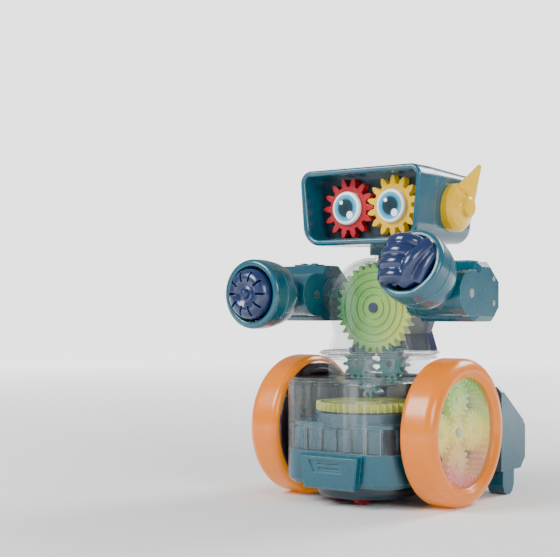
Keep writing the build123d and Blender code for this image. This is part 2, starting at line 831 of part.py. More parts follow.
def circuit_board():
    """Board on the gearbox with a chip and three coloured lamps."""
    rear = axle_y + rear_step_reach - tray_wall - 1.0
    with BuildPart() as board:
        with BuildSketch(Plane.XY.offset(38.0)):
            with Locations((-20, rear - 7)):
                Rectangle(18, 12)
        extrude(amount=1.4)
        with BuildSketch(Plane.XY.offset(39.4)):
            with Locations((-23, rear - 8)):
                Rectangle(7, 7)
        extrude(amount=1.6)
        with BuildSketch(Plane.XY.offset(39.4)):
            with Locations((-14, rear - 10), (-14, rear - 6)):
                Circle(1.5)
        extrude(amount=4.0)
    return board


# --------------------------------------------------------------------------- rear
def rear_profile(inset):
    """Side view of the wide rear box."""
    front = axle_y + rear_step_reach
    rear = axle_y + rear_wall_reach
    Polygon(
        (front + inset, rear_floor + inset),
        (front + inset, rear_roof - inset),
        (front + 4, rear_roof - inset),
        (rear - 4 - inset / 2, rear_roof - 19 - inset),
        (rear - inset, rear_roof - 24 - inset),
        (rear - inset, rear_floor + 5 + inset / 2),
        (rear - 5 - inset / 2, rear_floor + inset),
        align=None,
    )


def saddle_profile(inset):
    """Side view of the narrow part between the big wheels."""
    Polygon(
        (axle_y + cowl_rear_reach, tray_top),
        (axle_y + cowl_rear_reach, cowl_top - inset),
        (axle_y + rear_step_reach - 10, cowl_top - inset),
        (axle_y + rear_step_reach + inset, rear_roof - 2.5 * inset),
        (axle_y + rear_step_reach + inset, tray_top),
        align=None,
    )


def rear_housing():
    """Teal rear casing: a saddle between the wheels and a wide battery box behind them."""
    wide = 2 * rear_half_width
    with BuildPart() as housing:
        with BuildSketch(side_plane(-rear_half_width)):
            rear_profile(0)
        extrude(amount=wide)
        across = housing.edges().filter_by(Axis.X, reverse=True).filter_by(lambda e: e.center().Z > rear_floor + 1)
        ends = across.filter_by(lambda e: abs(abs(e.center().X) - rear_half_width) < 0.01)
        ends = ends.filter_by(lambda e: e.center().Y > axle_y + rear_step_reach + 1)
        chamfer(ends, length=3.0)
        with BuildSketch(side_plane(-body_half_width)):
            saddle_profile(0)
        extrude(amount=2 * body_half_width)
        with BuildSketch(side_plane(-rear_half_width + 4)):
            rear_profile(tray_wall)
        extrude(amount=wide - 8, mode=Mode.SUBTRACT)
        with BuildSketch(side_plane(-body_half_width + tray_wall)):
            saddle_profile(tray_wall)
        extrude(amount=2 * (body_half_width - tray_wall), mode=Mode.SUBTRACT)
        door_front = axle_y + rear_step_reach + 4
        with BuildSketch(Plane.XY.offset(rear_floor)):
            with Locations((0, (door_front + axle_y + rear_wall_reach) / 2)):
                Rectangle(2 * door_half_width, axle_y + rear_wall_reach - door_front)
        extrude(amount=tray_wall + part_gap, mode=Mode.SUBTRACT)
        with BuildSketch(front_plane(axle_y + rear_wall_reach)):
            with Locations((switch_x, switch_height)):
                Rectangle(11, 4.4)
        extrude(amount=tray_wall + 1, mode=Mode.SUBTRACT)
        with BuildSketch(Plane.XY.offset(rear_floor)):
            with Locations(*screw_places()):
                Circle(1.2)
        extrude(amount=tray_wall, mode=Mode.SUBTRACT)
    return housing


def battery_door():
    """Flat door that slides out backwards from under the battery box."""
    front = axle_y + rear_step_reach + 4 + part_gap
    rear = axle_y + rear_wall_reach - 5
    with BuildPart() as door:
        with BuildSketch(side_plane(-door_half_width + part_gap)):
            with BuildLine():
                Polyline(
                    (front, rear_floor),
                    (rear, rear_floor),
                    (rear + tray_wall, rear_floor + tray_wall),
                    (front, rear_floor + tray_wall),
                    close=True,
                )
            make_face()
        extrude(amount=2 * (door_half_width - part_gap))
        with BuildSketch(Plane.XY.offset(rear_floor)):
            with Locations((0, rear - 4)):
                with GridLocations(0, 1.8, 1, 3):
                    Rectangle(16, 0.8)
        extrude(amount=0.5, mode=Mode.SUBTRACT)
    return door


def cell_places():
    first = axle_y + cell_first
    pitch = 2 * cell_radius + cell_gap
    raised = cell_low + sqrt(pitch ** 2 - (pitch / 2) ** 2)
    return [(first, cell_low), (first + pitch, cell_low), (first + pitch / 2, raised)]


def battery_cells():
    """Three AA cells lying across the battery box."""
    with BuildPart() as cells:
        for place in cell_places():
            with BuildSketch(side_plane(-cell_length / 2)):
                with Locations(place):
                    Circle(cell_radius)
            extrude(amount=cell_length - 1)
            with BuildSketch(side_plane(cell_length / 2 - 1)):
                with Locations(place):
                    Circle(2.6)
            extrude(amount=1)
    return cells


def battery_contacts():
    """End plates of the battery box that hold the cells and carry their contacts."""
    with BuildPart() as contacts:
        for side in (-1, 1):
            with BuildSketch(side_plane(side * cell_length / 2)):
                with BuildLine():
                    Polyline(
                        (axle_y + rear_step_reach + tray_wall, rear_floor + tray_wall + 0.5),
                        (axle_y + rear_step_reach + tray_wall, rear_roof - 21),
                        (axle_y + rear_wall_reach - 10, rear_roof - 21),
                        (axle_y + rear_wall_reach - tray_wall - 1.5, rear_floor + tray_wall + 5),
                        (axle_y + rear_wall_reach - tray_wall - 4, rear_floor + tray_wall + 0.5),
                        close=True,
                    )
                make_face()
            extrude(amount=side * 1.6)
    return contacts


def rear_feet():
    """Two rounded feet under the outer ends of the rear casing."""
    with BuildPart() as feet:
        for side in (-1, 1):
            with BuildSketch(side_plane(side * (rear_half_width - foot_width - 1))):
                with BuildLine():
                    y = axle_y + rear_step_reach + 4
                    Polyline(
                        (y, rear_floor),
                        (y, 6),
                        (y + 2, 2),
                        (y + 5, 0),
                        (y + foot_length - 5, 0),
                        (y + foot_length - 2, 2),
                        (y + foot_length, 6),
                        (y + foot_length, rear_floor),
                        close=True,
                    )
                make_face()
            extrude(amount=side * foot_width)
    return feet


def power_switch_knob():
    """Sliding switch knob in the rear wall."""
    inner = axle_y + rear_wall_reach - tray_wall
    with BuildPart() as knob:
        with BuildSketch(front_plane(inner - part_gap)):
            with Locations((switch_x, switch_height)):
                Rectangle(9, 6.4)
        extrude(amount=1.0)
        with BuildSketch(front_plane(inner - part_gap)):
            with Locations((switch_x, switch_height)):
                Rectangle(5, 3.8)
        extrude(amount=-(tray_wall + part_gap + switch_stand))
    return knob


# --------------------------------------------------------------------------- head
def head_outline(inset=0.0, corner=12.0):
    """Front view of the head, narrower at the chin."""
    face = Polygon(
        (-head_half_width + inset, head_top - inset),
        (head_half_width - inset, head_top - inset),
        (head_chin_half_width - inset, head_bottom + inset),
        (-head_chin_half_width + inset, head_bottom + inset),
        align=None,
    )
    rounded = fillet(face.vertices().group_by(Axis.Y)[0], corner - inset)
    fillet(rounded.vertices().group_by(Axis.Y)[-1], corner * 0.6 - min(inset, 4))


def visor_bezel():
    """Wide rounded frame round the recessed face."""
    front = axle_y - head_front_reach
    with BuildPart() as bezel:
        with BuildSketch(front_plane(front)):
            head_outline()
        extrude(amount=-bezel_depth)
        with BuildSketch(front_plane(front)):
            head_outline(bezel_lip)
        extrude(amount=-bezel_depth, mode=Mode.SUBTRACT)
        rim_edges = bezel.faces().sort_by(Axis.Y)[0].edges()
        fillet(rim_edges, radius=1.6)
    return bezel


def head_shell():
    """Whole hollow head behind the bezel, before it is split at the seam."""
    front = axle_y - head_front_reach + bezel_depth
    rear = axle_y + head_rear_reach
    with BuildPart() as shell:
        with BuildSketch(front_plane(front)):
            head_outline()
        extrude(amount=front - rear, taper=head_taper)
        fillet(shell.faces().sort_by(Axis.Y)[-1].edges(), radius=4.0)
        with BuildSketch(front_plane(front)):
            head_outline(tray_wall)
        extrude(amount=front - rear + tray_wall, taper=head_taper, mode=Mode.SUBTRACT)
        with BuildSketch(side_plane(-head_half_width - 2)):
            with Locations((axle_y + ear_reach, ear_height)):
                Circle(ear_radius + seat_fit)
        extrude(amount=2 * head_half_width + 4, mode=Mode.SUBTRACT)
    return shell


def head_upper_shell():
    whole = head_shell()
    with BuildPart() as shell:
        add(whole.part)
        split(bisect_by=Plane.XY.offset(head_seam), keep=Keep.TOP)
    return shell


def head_lower_shell():
    """Lower half of the head with the neck collar and its pin."""
    whole = head_shell()
    with BuildPart() as shell:
        add(whole.part)
        split(bisect_by=Plane.XY.offset(head_seam), keep=Keep.BOTTOM)
        with BuildSketch(Plane.XY.offset(neck_seat + 0.3)):
            with Locations((0, neck_y)):
                Circle(neck_radius)
        extrude(amount=head_bottom + 1.0 - neck_seat - 0.3)
        with BuildSketch(Plane.XY.offset(neck_seat - 8)):
            with Locations((0, neck_y)):
                Circle(neck_pin_radius)
        extrude(amount=9)
    return shell


def eye_panel():
    """Dark recessed face with the two posts that carry the eye gears and eyes."""
    with BuildPart() as panel:
        with BuildSketch(front_plane(axle_y - head_front_reach + bezel_depth)):
            head_outline(tray_wall + 0.3)
        extrude(amount=-2.0)
        with BuildSketch(front_plane(axle_y - head_front_reach + bezel_depth)):
            with Locations((-eye_pitch, eye_height), (eye_pitch, eye_height)):
                Circle(eye_post_radius)
        extrude(amount=eye_gear_width + 2 * part_gap)
    return panel


def eye_gear(side):
    """Rounded-tooth gear that turns round one eye post."""
    turn = 0 if side < 0 else 180 + 180 / eye_teeth
    front = axle_y - head_front_reach + bezel_depth - part_gap - eye_gear_width
    with BuildPart() as gear:
        with BuildSketch(front_plane(front)):
            with Locations((side * eye_pitch, eye_height)):
                Polygon(*gear_outline(eye_teeth, eye_module, turn), align=None)
                Circle(eye_post_radius + run_fit, mode=Mode.SUBTRACT)
        extrude(amount=-eye_gear_width)
    return gear


def eye_discs():
    """Two domed eyes on the ends of the posts, in front of the gears."""
    back = axle_y - head_front_reach + bezel_depth - eye_gear_width - 2 * part_gap
    with BuildPart() as eyes:
        with BuildSketch(front_plane(back)):
            with Locations((-eye_pitch, eye_height), (eye_pitch, eye_height)):
                Circle(eye_radius)
        extrude(amount=2.4)
        fillet(eyes.edges().group_by(Axis.Y)[0], radius=1.4)
    return eyes


def ear(side):
    """Yellow stepped ear disc with a horn that points up and back."""
    centre = (0, axle_y + ear_reach, ear_height)
    section = Plane(origin=centre, x_dir=(side, 0, 0), z_dir=(0, -side, 0))
    inner = head_chin_half_width - 3
    horn_low = Vector(side * (head_half_width + 3.5), axle_y + ear_reach + 3.5, ear_height + 6)
    horn_tip = Vector(side * (head_half_width + 6), axle_y + ear_reach + 17.5, 199.0)
    with BuildPart() as piece:
        with BuildSketch(section):
            with BuildLine():
                Polyline(
                    (inner, 0),
                    (inner, ear_radius),
                    (head_half_width + 1.5, ear_radius),
                    (head_half_width + 4, ear_radius - 1.8),
                    (head_half_width + 6, ear_radius - 5.2),
                    (head_half_width + 6.6, ear_radius - 7.2),
                    (ear_cap_out - 3.2, 6.4),
                    (ear_cap_out - 0.8, 5.8),
                    (ear_cap_out, 4.6),
                    (ear_cap_out, 0),
                    close=True,
                )
            make_face()
        revolve(axis=Axis(centre, (1, 0, 0)))
        rise = (horn_tip - horn_low).normalized()
        with BuildSketch(Plane(origin=horn_low, x_dir=(1, 0, 0), z_dir=rise)):
            Ellipse(4.2, 10.5)
        with BuildSketch(Plane(origin=horn_tip, x_dir=(1, 0, 0), z_dir=rise)):
            Ellipse(1.0, 1.4)
        loft()
    return piece


# --------------------------------------------------------------------------- arms
def arm_middle(side):
    return side * arm_spacing


def shoulder_block(side):
    """Angular shoulder with a pin into the chest and two cheeks round the elbow."""
    low_x = arm_middle(side) - block_width / 2
    y_front = axle_y - block_front_reach
    y_rear = axle_y + block_rear_reach
    low = shoulder_height - block_half_height + 1
    high = shoulder_height + block_half_height + 1
    elbow = (axle_y - elbow_reach, shoulder_height)
    with BuildPart() as block:
        with BuildSketch(side_plane(low_x)):
            with BuildLine():
                Polyline(
                    (y_front, low + 2),
                    (y_front, high - 7),
                    (y_front + 6, high),
                    (y_rear - 12, high),
                    (y_rear, high - 10),
                    (y_rear, low + 7),
                    (y_rear - 7, low),
                    (y_front + 3, low),
                    close=True,
                )
            make_face()
        extrude(amount=block_width)
        outer = block.faces().sort_by(Axis.X)[-1 if side > 0 else 0]
        chamfer(outer.edges().filter_by(lambda e: e.center().Y > y_front + 1), length=3.0)
        with BuildSketch(side_plane(low_x)):
            with Locations(elbow):
                Circle(knuckle_radius + 0.5)
            with Locations(((elbow[0] + y_front + 1) / 2, shoulder_height)):
                Rectangle(y_front + 1 - elbow[0], 2 * knuckle_radius + 1)
        extrude(amount=block_width)
        with BuildSketch(side_plane(arm_middle(side) - cheek_inner)):
            with Locations(elbow):
                Circle(knuckle_radius + 0.6)
            with Locations((elbow[0] - 20, shoulder_height)):
                Rectangle(40, 2 * knuckle_radius + 1.2)
            with Locations(((elbow[0] - 20 + y_front) / 2, shoulder_height)):
                Rectangle(y_front - elbow[0] + 20, 60)
        extrude(amount=2 * cheek_inner, mode=Mode.SUBTRACT)
        ridge_plane = Plane.XY.offset(high)
        with BuildSketch(ridge_plane):
            with Locations((arm_middle(side), (y_front + y_rear) / 2 - 2)):
                if side > 0:
                    with GridLocations(0, 4.2, 1, 3):
                        Rectangle(20, 2.0)
                else:
                    RectangleRounded(18, 10, 2)
        extrude(amount=1.0)
        if side < 0:
            with BuildSketch(ridge_plane.offset(1.0)):
                with Locations((arm_middle(side), (y_front + y_rear) / 2 - 2)):
                    with GridLocations(8, 0, 2, 1):
                        Circle(2.2)
            extrude(amount=0.8)
        with BuildSketch(side_plane(side * (arm_spacing - block_width / 2))):
            with Locations((axle_y + shoulder_reach, shoulder_height)):
                Circle(shoulder_pin_radius)
        extrude(amount=-side * 6.6)
        with BuildSketch(side_plane(low_x)):
            with Locations(elbow):
                Circle(elbow_pin_radius)
        extrude(amount=block_width, mode=Mode.SUBTRACT)
    return block


def elbow_pin(side):
    """Steel pin through both cheeks and the knuckle."""
    with BuildPart() as pin:
        with BuildSketch(side_plane(arm_middle(side) - block_width / 2)):
            with Locations((axle_y - elbow_reach, shoulder_height)):
                Circle(elbow_pin_radius)
        extrude(amount=block_width)
    return pin


def arm_plane(side, lift):
    """Plane with its x along the forearm, away from the elbow."""
    along = (0, -cos(radians(lift)), sin(radians(lift)))
    return Plane(origin=(arm_middle(side), axle_y - elbow_reach, shoulder_height), x_dir=along, z_dir=(1, 0, 0))


def forearm_cup(side, lift):
    """Forearm with an elbow knuckle, a seam ring and the open cup that holds the hand."""
    plane = arm_plane(side, lift)
    axis = Axis(plane.origin, plane.x_dir)
    flare_start = knuckle_radius + 1.2
    flare_radius = cup_radius - 4.5
    seam = cup_length - hand_seat + 0.6
    with BuildPart() as arm:
        with BuildSketch(plane) as profile:
            with BuildLine():
                Polyline((flare_start, flare_radius), (flare_start, knuckle_radius), (0, knuckle_radius - 0.5))
                Polyline((0, knuckle_radius - 0.5), (0, 0), (seam - 1.6, 0), (seam - 1.6, cup_radius - 0.3))
                Spline(
                    (flare_start, flare_radius),
                    (flare_start + 7, cup_radius - 1.6),
                    (seam - 1.6, cup_radius - 0.3),
                    tangents=((1, 0.6), (1, 0.05)),
                )
            make_face()
            fillet(corner(profile, flare_start, flare_radius), radius=1.2)
            with BuildLine():
                Polyline(
                    (seam - 4, 0),
                    (seam - 1.6, cup_radius - 0.3),
                    (seam - 1.2, cup_radius - 0.9),
                    (seam - 0.4, cup_radius - 0.9),
                    (seam, cup_radius),
                    (cup_length, cup_radius),
                    (cup_length, cup_opening),
                    (cup_length - hand_seat, cup_opening - 1.5),
                    (cup_length - hand_seat, 0),
                    close=True,
                )
            make_face()
            fillet(corner(profile, cup_length, cup_radius), radius=2.4)
            fillet(corner(profile, cup_length, cup_opening), radius=1.0)
        revolve(axis=axis)
        with BuildSketch(side_plane(arm_middle(side))):
            with Locations((axle_y - elbow_reach, shoulder_height)):
                Circle(knuckle_radius)
        extrude(amount=cheek_inner - part_gap, both=True)
        with BuildSketch(side_plane(arm_middle(side))):
            with Locations((axle_y - elbow_reach, shoulder_height)):
                Circle(elbow_pin_radius + run_fit)
        extrude(amount=20, both=True, mode=Mode.SUBTRACT)
    return arm


def right_nozzle():
    """Dark blue slotted dome with a small centre tip, seated in the right cup."""
    plane = arm_plane(-1, right_arm_lift)
    axis = Axis(plane.origin, plane.x_dir)
    seat = cup_length - hand_seat
    with BuildPart() as nozzle:
        with BuildSketch(plane):
            with BuildLine():
                Polyline((nozzle_reach, 0), (seat, 0), (seat, cup_opening - 2.2), (cup_length - 1, cup_opening - 1.4))
                Spline(
                    (cup_length - 1, cup_opening - 1.4),
                    (cup_length + 2.5, cup_opening - 2.2),
                    (cup_length + 5.2, cup_opening - 5),
                    (cup_length + 5.6, cup_opening - 8),
                    (cup_length + 4, 4.6),
                    tangents=((1, 0.02), (-0.6, -1)),
                )
                Polyline((cup_length + 4, 4.6), (cup_length + 4.4, 3.2), (nozzle_reach - 1, 2.6), (nozzle_reach, 1.6))
                Line((nozzle_reach, 1.6), (nozzle_reach, 0))
            make_face()
        revolve(axis=axis)
        slot_plane = Plane(origin=plane.origin + plane.x_dir * (cup_length + 1), x_dir=(1, 0, 0), z_dir=plane.x_dir)
        with BuildSketch(slot_plane):
            with PolarLocations(cup_opening - 6, 10):
                SlotOverall(6.5, 1.4)
        extrude(amount=8, mode=Mode.SUBTRACT)
    return nozzle


def left_fist():
    """Dark blue clenched hand: palm, four stacked fingers and a thumb."""
    plane = arm_plane(1, left_arm_lift)
    seat = plane.origin + plane.x_dir * (cup_length - hand_seat)
    hand = Plane(origin=seat, x_dir=(1, 0, 0), z_dir=plane.x_dir)
    middle_finger = (finger_count - 1) / 2
    with BuildPart() as fist:
        with BuildSketch(hand):
            RectangleRounded(palm_width, palm_height, 7)
        extrude(amount=palm_depth)
        for finger in range(finger_count):
            up = (finger - middle_finger) * finger_pitch
            middle = hand.from_local_coords(Vector(-3.5, up, finger_middle))
            with BuildSketch(Plane(origin=middle, x_dir=hand.x_dir, z_dir=hand.y_dir)):
                RectangleRounded(finger_length, finger_depth - 0.9 * abs(finger - middle_finger), 3.8)
            extrude(amount=finger_pitch / 2 - 0.1, both=True)
        thumb = hand.from_local_coords(Vector(8.6, 1, finger_middle + 0.5))
        with BuildSketch(Plane(origin=thumb, x_dir=hand.x_dir, z_dir=hand.y_dir)):
            RectangleRounded(7, 8, 3)
        extrude(amount=9, both=True)
    return fist


# ---------------------------------------------------------------------- write out
def build():
    os.makedirs("parts", exist_ok=True)
    for side, word in ((1, "left"), (-1, "right")):
        export(wheel_rim(side), f"{word}_wheel_rim")
        export(wheel_inner_gear(side), f"{word}_wheel_inner_gear")
        export(wheel_cover(side), f"{word}_wheel_cover")
        export(wheel_sun_gear(side), f"{word}_sun_gear")
        for index in range(planet_count):
            export(wheel_planet_gear(side, index), f"{word}_planet_gear_{index + 1}")
        export(ear(side), f"{word}_ear")
        export(shoulder_block(side), f"{word}_shoulder_block")
        export(elbow_pin(side), f"{word}_elbow_pin")
        export(waist_gear(side), f"waist_gear_{word}")
    export(forearm_cup(1, left_arm_lift), "left_forearm_cup")
    export(forearm_cup(-1, right_arm_lift), "right_forearm_cup")
    export(eye_gear(-1), "red_eye_gear")
    export(eye_gear(1), "yellow_eye_gear")
    single = (
        planet_carriers, wheel_axle, base_tray, grille_insert, front_cowl, gear_deck, waist_deck,
        chassis_screws, torso_front_shell, torso_back_cover, torso_gear, motor_pinion,
        turntable_disc, crown_gear, steer_pinion, drive_wheels, drive_axle, gear_motor,
        circuit_board, rear_housing, battery_door, battery_cells, battery_contacts, rear_feet,
        power_switch_knob, visor_bezel, head_upper_shell, head_lower_shell, eye_panel, eye_discs,
        right_nozzle, left_fist,
    )
    for make in single:
        export(make(), make.__name__)


build()
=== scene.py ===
"""Dresses the walking gear robot: finishes on every moulded piece, the sculpted
fist, the printed eyes, the wheel dishes, waist rings, screws and studs, the studio
and the camera."""

from __future__ import annotations

import json
import logging
import math
from dataclasses import dataclass
from enum import Enum

import bmesh
import bpy
from mathutils import Matrix, Vector


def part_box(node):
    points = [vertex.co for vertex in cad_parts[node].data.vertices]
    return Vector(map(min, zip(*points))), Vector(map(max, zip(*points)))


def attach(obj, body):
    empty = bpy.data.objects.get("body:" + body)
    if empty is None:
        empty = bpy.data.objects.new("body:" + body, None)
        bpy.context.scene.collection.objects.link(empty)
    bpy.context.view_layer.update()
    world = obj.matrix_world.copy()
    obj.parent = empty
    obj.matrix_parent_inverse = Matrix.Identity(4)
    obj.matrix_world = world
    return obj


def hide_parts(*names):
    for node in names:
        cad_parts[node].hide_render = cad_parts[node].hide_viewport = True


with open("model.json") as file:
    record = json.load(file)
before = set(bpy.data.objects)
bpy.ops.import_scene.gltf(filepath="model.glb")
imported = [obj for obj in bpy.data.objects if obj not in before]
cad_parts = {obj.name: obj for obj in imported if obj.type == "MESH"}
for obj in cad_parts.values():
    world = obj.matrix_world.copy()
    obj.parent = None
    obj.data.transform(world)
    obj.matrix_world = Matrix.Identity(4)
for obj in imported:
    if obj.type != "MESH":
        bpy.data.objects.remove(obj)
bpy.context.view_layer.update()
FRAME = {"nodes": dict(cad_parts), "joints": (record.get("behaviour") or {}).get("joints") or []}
LOG = logging.getLogger("gear_robot")
MM = 0.001
SINK = 0.4 * MM  # how deep the middle of a screw or stud lies under the face it stands on

Colour = tuple[float, float, float]
Place = tuple[float, float, float]
Socket = bpy.types.NodeSocket


# ------------------------------------------------------------------------ shaders
class Direction(Enum):
    """Object axis that a colour change runs along."""

    ACROSS = 0
    UP = 2


class Graph:
    """A material's node graph with a few shorthands."""

    def __init__(self, name: str) -> None:
        """Start an empty graph.

        Args:
            name: The material's name.
        """
        self.material = bpy.data.materials.new(name)
        self.material.use_nodes = True
        self.tree = self.material.node_tree
        self.tree.nodes.clear()
        self.output = self.tree.nodes.new("ShaderNodeOutputMaterial")
        self.shader = self.tree.nodes.new("ShaderNodeBsdfPrincipled")
        self.tree.links.new(self.shader.outputs[0], self.output.inputs["Surface"])
        self.place = self.tree.nodes.new("ShaderNodeTexCoord").outputs["Object"]

    def link(self, source: Socket, target: Socket) -> None:
        """Join two sockets."""
        self.tree.links.new(source, target)

    def node(self, kind: str, **settings: object) -> bpy.types.Node:
        """Add a node and set its properties.

        Args:
            kind: The node's type name.
            **settings: Properties of the node.

        Returns:
            The new node.
        """
        made = self.tree.nodes.new(kind)
        for key, value in settings.items():
            setattr(made, key, value)
        return made

    def math(self, operation: str, first: object, second: object = 0.0) -> Socket:
        """Add a maths node.

        Args:
            operation: Blender's name of the operation.
            first: A socket or a number.
            second: A socket or a number.

        Returns:
            The result's socket.
        """
        made = self.node("ShaderNodeMath", operation=operation)
        for index, value in enumerate((first, second)):
            if isinstance(value, Socket):
                self.link(value, made.inputs[index])
            else:
                made.inputs[index].default_value = value
        return made.outputs[0]

    def noise(self, scale: float, detail: float = 3.0) -> Socket:
        """Add noise on the piece's own coordinates.

        Args:
            scale: Cells per metre.
            detail: Octaves of finer noise.

        Returns:
            The noise value's socket.
        """
        made = self.node("ShaderNodeTexNoise")
        made.inputs["Scale"].default_value = scale
        made.inputs["Detail"].default_value = detail
        self.link(self.place, made.inputs["Vector"])
        return made.outputs["Fac"]

    def streaks(self, scale: Vector) -> Socket:
        """Add noise drawn out along one axis, for the painted reflection streaks on clear plastic.

        Args:
            scale: Cells per metre along each axis.

        Returns:
            The noise value's socket.
        """
        stretch = self.node("ShaderNodeMapping")
        stretch.inputs["Scale"].default_value = scale
        self.link(self.place, stretch.inputs["Vector"])
        made = self.node("ShaderNodeTexNoise")
        made.inputs["Scale"].default_value = 1.0
        made.inputs["Detail"].default_value = 2.0
        self.link(stretch.outputs[0], made.inputs["Vector"])
        return made.outputs["Fac"]

    def spread(self, value: Socket, low: float, high: float, start: float = 0.3,
               stop: float = 0.7) -> Socket:
        """Map a value from start..stop to low..high, clamped.

        Args:
            value: The value's socket.
            low: Result at start.
            high: Result at stop.
            start: Value that gives low.
            stop: Value that gives high.

        Returns:
            The mapped value's socket.
        """
        made = self.node("ShaderNodeMapRange")
        for name, number in (("From Min", start), ("From Max", stop), ("To Min", low),
                             ("To Max", high)):
            made.inputs[name].default_value = number
        self.link(value, made.inputs["Value"])
        return made.outputs["Result"]

    def blend(self, amount: Socket, first: object, second: object) -> Socket:
        """Mix two colours.

        Args:
            amount: How much of the second colour.
            first: A colour or a colour socket.
            second: A colour or a colour socket.

        Returns:
            The mixed colour's socket.
        """
        made = self.node("ShaderNodeMix", data_type="RGBA")
        self.link(amount, made.inputs["Factor"])
        for name, value in (("A", first), ("B", second)):
            socket = [s for s in made.inputs if s.name == name and s.type == "RGBA"][0]
            if isinstance(value, Socket):
                self.link(value, socket)
            else:
                socket.default_value = (*value, 1.0)
        return [s for s in made.outputs if s.type == "RGBA"][0]

    def place_axis(self, axis: Direction) -> Socket:
        """Add the object coordinate along one axis.

        Args:
            axis: The axis.

        Returns:
            The coordinate's socket, in metres.
        """
        parts = self.node("ShaderNodeSeparateXYZ")
        self.link(self.place, parts.inputs[0])
        return parts.outputs[axis.value]

    def ramp(self, value: Socket, stops: list[tuple[float, Colour]]) -> Socket:
        """Turn a value into a colour through a ramp.

        Args:
            value: Where on the ramp, from 0 to 1.
            stops: Places and colours, the ramp's two ends first.

        Returns:
            The colour's socket.
        """
        made = self.node("ShaderNodeValToRGB")
        elements = made.color_ramp.elements
        for element, (position, colour) in zip(elements, stops[:2]):
            element.position = position
            element.color = (*colour, 1)
        for position, colour in stops[2:]:
            elements.new(position).color = (*colour, 1)
        self.link(value, made.inputs[0])
        return made.outputs[0]

    def edges(self, radius: float) -> tuple[Socket, Socket]:
        """Soften the piece's sharp edges.

        Args:
            radius: Radius of the softened edge, in metres.

        Returns:
            The softened normal and a mask that is 1 along the edges.
        """
        soft = self.node("ShaderNodeBevel", samples=4)
        soft.inputs["Radius"].default_value = radius
        flat = self.node("ShaderNodeNewGeometry")
        dot = self.node("ShaderNodeVectorMath", operation="DOT_PRODUCT")
        self.link(soft.outputs[0], dot.inputs[0])
        self.link(flat.outputs["Normal"], dot.inputs[1])
        mask = self.spread(dot.outputs["Value"], 1.0, 0.0, 0.72, 0.985)
        return soft.outputs[0], mask

    def grain(self, scale: float, strength: float, normal: Socket | None = None) -> None:
        """Add fine mould texture to the shader's normal.

        Args:
            scale: Cells per metre.
            strength: Depth of the texture.
            normal: Normal that the texture is laid over.
        """
        bump = self.node("ShaderNodeBump")
        bump.inputs["Strength"].default_value = strength
        bump.inputs["Distance"].default_value = 0.0004
        self.link(self.noise(scale, 2.0), bump.inputs["Height"])
        if normal is not None:
            self.link(normal, bump.inputs["Normal"])
        self.link(bump.outputs[0], self.shader.inputs["Normal"])

    def set(self, **values: float) -> None:
        """Set plain numbers on the shader, with underscores for spaces in the names."""
        for name, value in values.items():
            self.shader.inputs[name.replace("_", " ")].default_value = value


@dataclass(frozen=True)
class Moulded:
    """Opaque glossy moulded plastic with slight mottling, pale highlights painted along its edges and,
    on some finishes, a painted glow.
    """

    name: str
    colour: Colour
    shade: Colour
    edge: Colour
    roughness: float = 0.26
    edge_radius: float = 0.0007
    coat: float = 0.35
    grain_depth: float = 0.05
    # Strength of a painted glow in the edge highlight colour; the part is no lamp.
    painted_glow: float = 0.0

    def make(self) -> bpy.types.Material:
        """Build the material.

        Returns:
            The finished material.
        """
        graph = Graph(self.name)
        mottled = graph.blend(graph.spread(graph.noise(38.0), 0.0, 0.55), self.colour, self.shade)
        soft, mask = graph.edges(self.edge_radius)
        # Painted highlight: the edge colour is painted along the sharp edges, broken up by noise.
        painted_edge_highlight = graph.math("MULTIPLY", mask, graph.spread(graph.noise(160.0), 0.35, 0.8))
        graph.link(graph.blend(painted_edge_highlight, mottled, self.edge), graph.shader.inputs["Base Color"])
        rough = graph.spread(graph.noise(70.0, 5.0), self.roughness - 0.06, self.roughness + 0.09)
        graph.link(rough, graph.shader.inputs["Roughness"])
        # Painted glow: emission in the edge highlight colour.
        graph.set(Coat_Weight=self.coat, Coat_Roughness=0.08, IOR=1.5, Emission_Strength=self.painted_glow)
        graph.shader.inputs["Emission Color"].default_value = (*self.edge, 1)
        graph.grain(1400.0, self.grain_depth, soft)
        return graph.material


@dataclass(frozen=True)
class Lit:
    """Translucent gear plastic lit by coloured lamps, their light painted on: three colours along one
    axis, a painted glow in the same colours and pale painted edge highlights.
    """

    name: str
    low: Colour
    middle: Colour
    high: Colour
    direction: Direction
    start: float
    stop: float
    glow: float = 0.35
    edge_radius: float = 0.0005
    edge_share: float = 0.55
    edge_colour: Colour = (0.95, 1.0, 0.75)

    def colour(self, graph: Graph, axis: Direction, cells: float, waver: float) -> Socket:
        """Colour of the lamps' light along one axis, with an uneven edge between colours.

        Args:
            graph: Graph to build in.
            axis: Axis that the colour changes along.
            cells: Cells per metre of the unevenness.
            waver: Its depth, as a share of the whole change.

        Returns:
            The colour's socket.
        """
        along = graph.spread(graph.place_axis(axis), 0.0, 1.0, self.start, self.stop)
        wavering = graph.math("ADD", along, graph.spread(graph.noise(cells), -waver, waver))
        return graph.ramp(wavering, [(0.0, self.low), (1.0, self.high), (0.5, self.middle)])

    def make(self) -> bpy.types.Material:
        """Build the material.

        Returns:
            The finished material.
        """
        graph = Graph(self.name)
        # Painted lamp light: the colour changes along one axis.
        lit = self.colour(graph, self.direction, 60.0, 0.09)
        soft, mask = graph.edges(self.edge_radius)
        # Painted highlight: a pale colour painted along the sharp edges.
        bright = graph.blend(graph.math("MULTIPLY", mask, self.edge_share), lit, self.edge_colour)
        graph.link(bright, graph.shader.inputs["Base Color"])
        graph.link(lit, graph.shader.inputs["Emission Color"])
        graph.link(graph.spread(graph.noise(90.0), 0.18, 0.32), graph.shader.inputs["Roughness"])
        graph.set(Emission_Strength=self.glow, Coat_Weight=0.4, Coat_Roughness=0.05)
        graph.grain(900.0, 0.04, soft)
        return graph.material


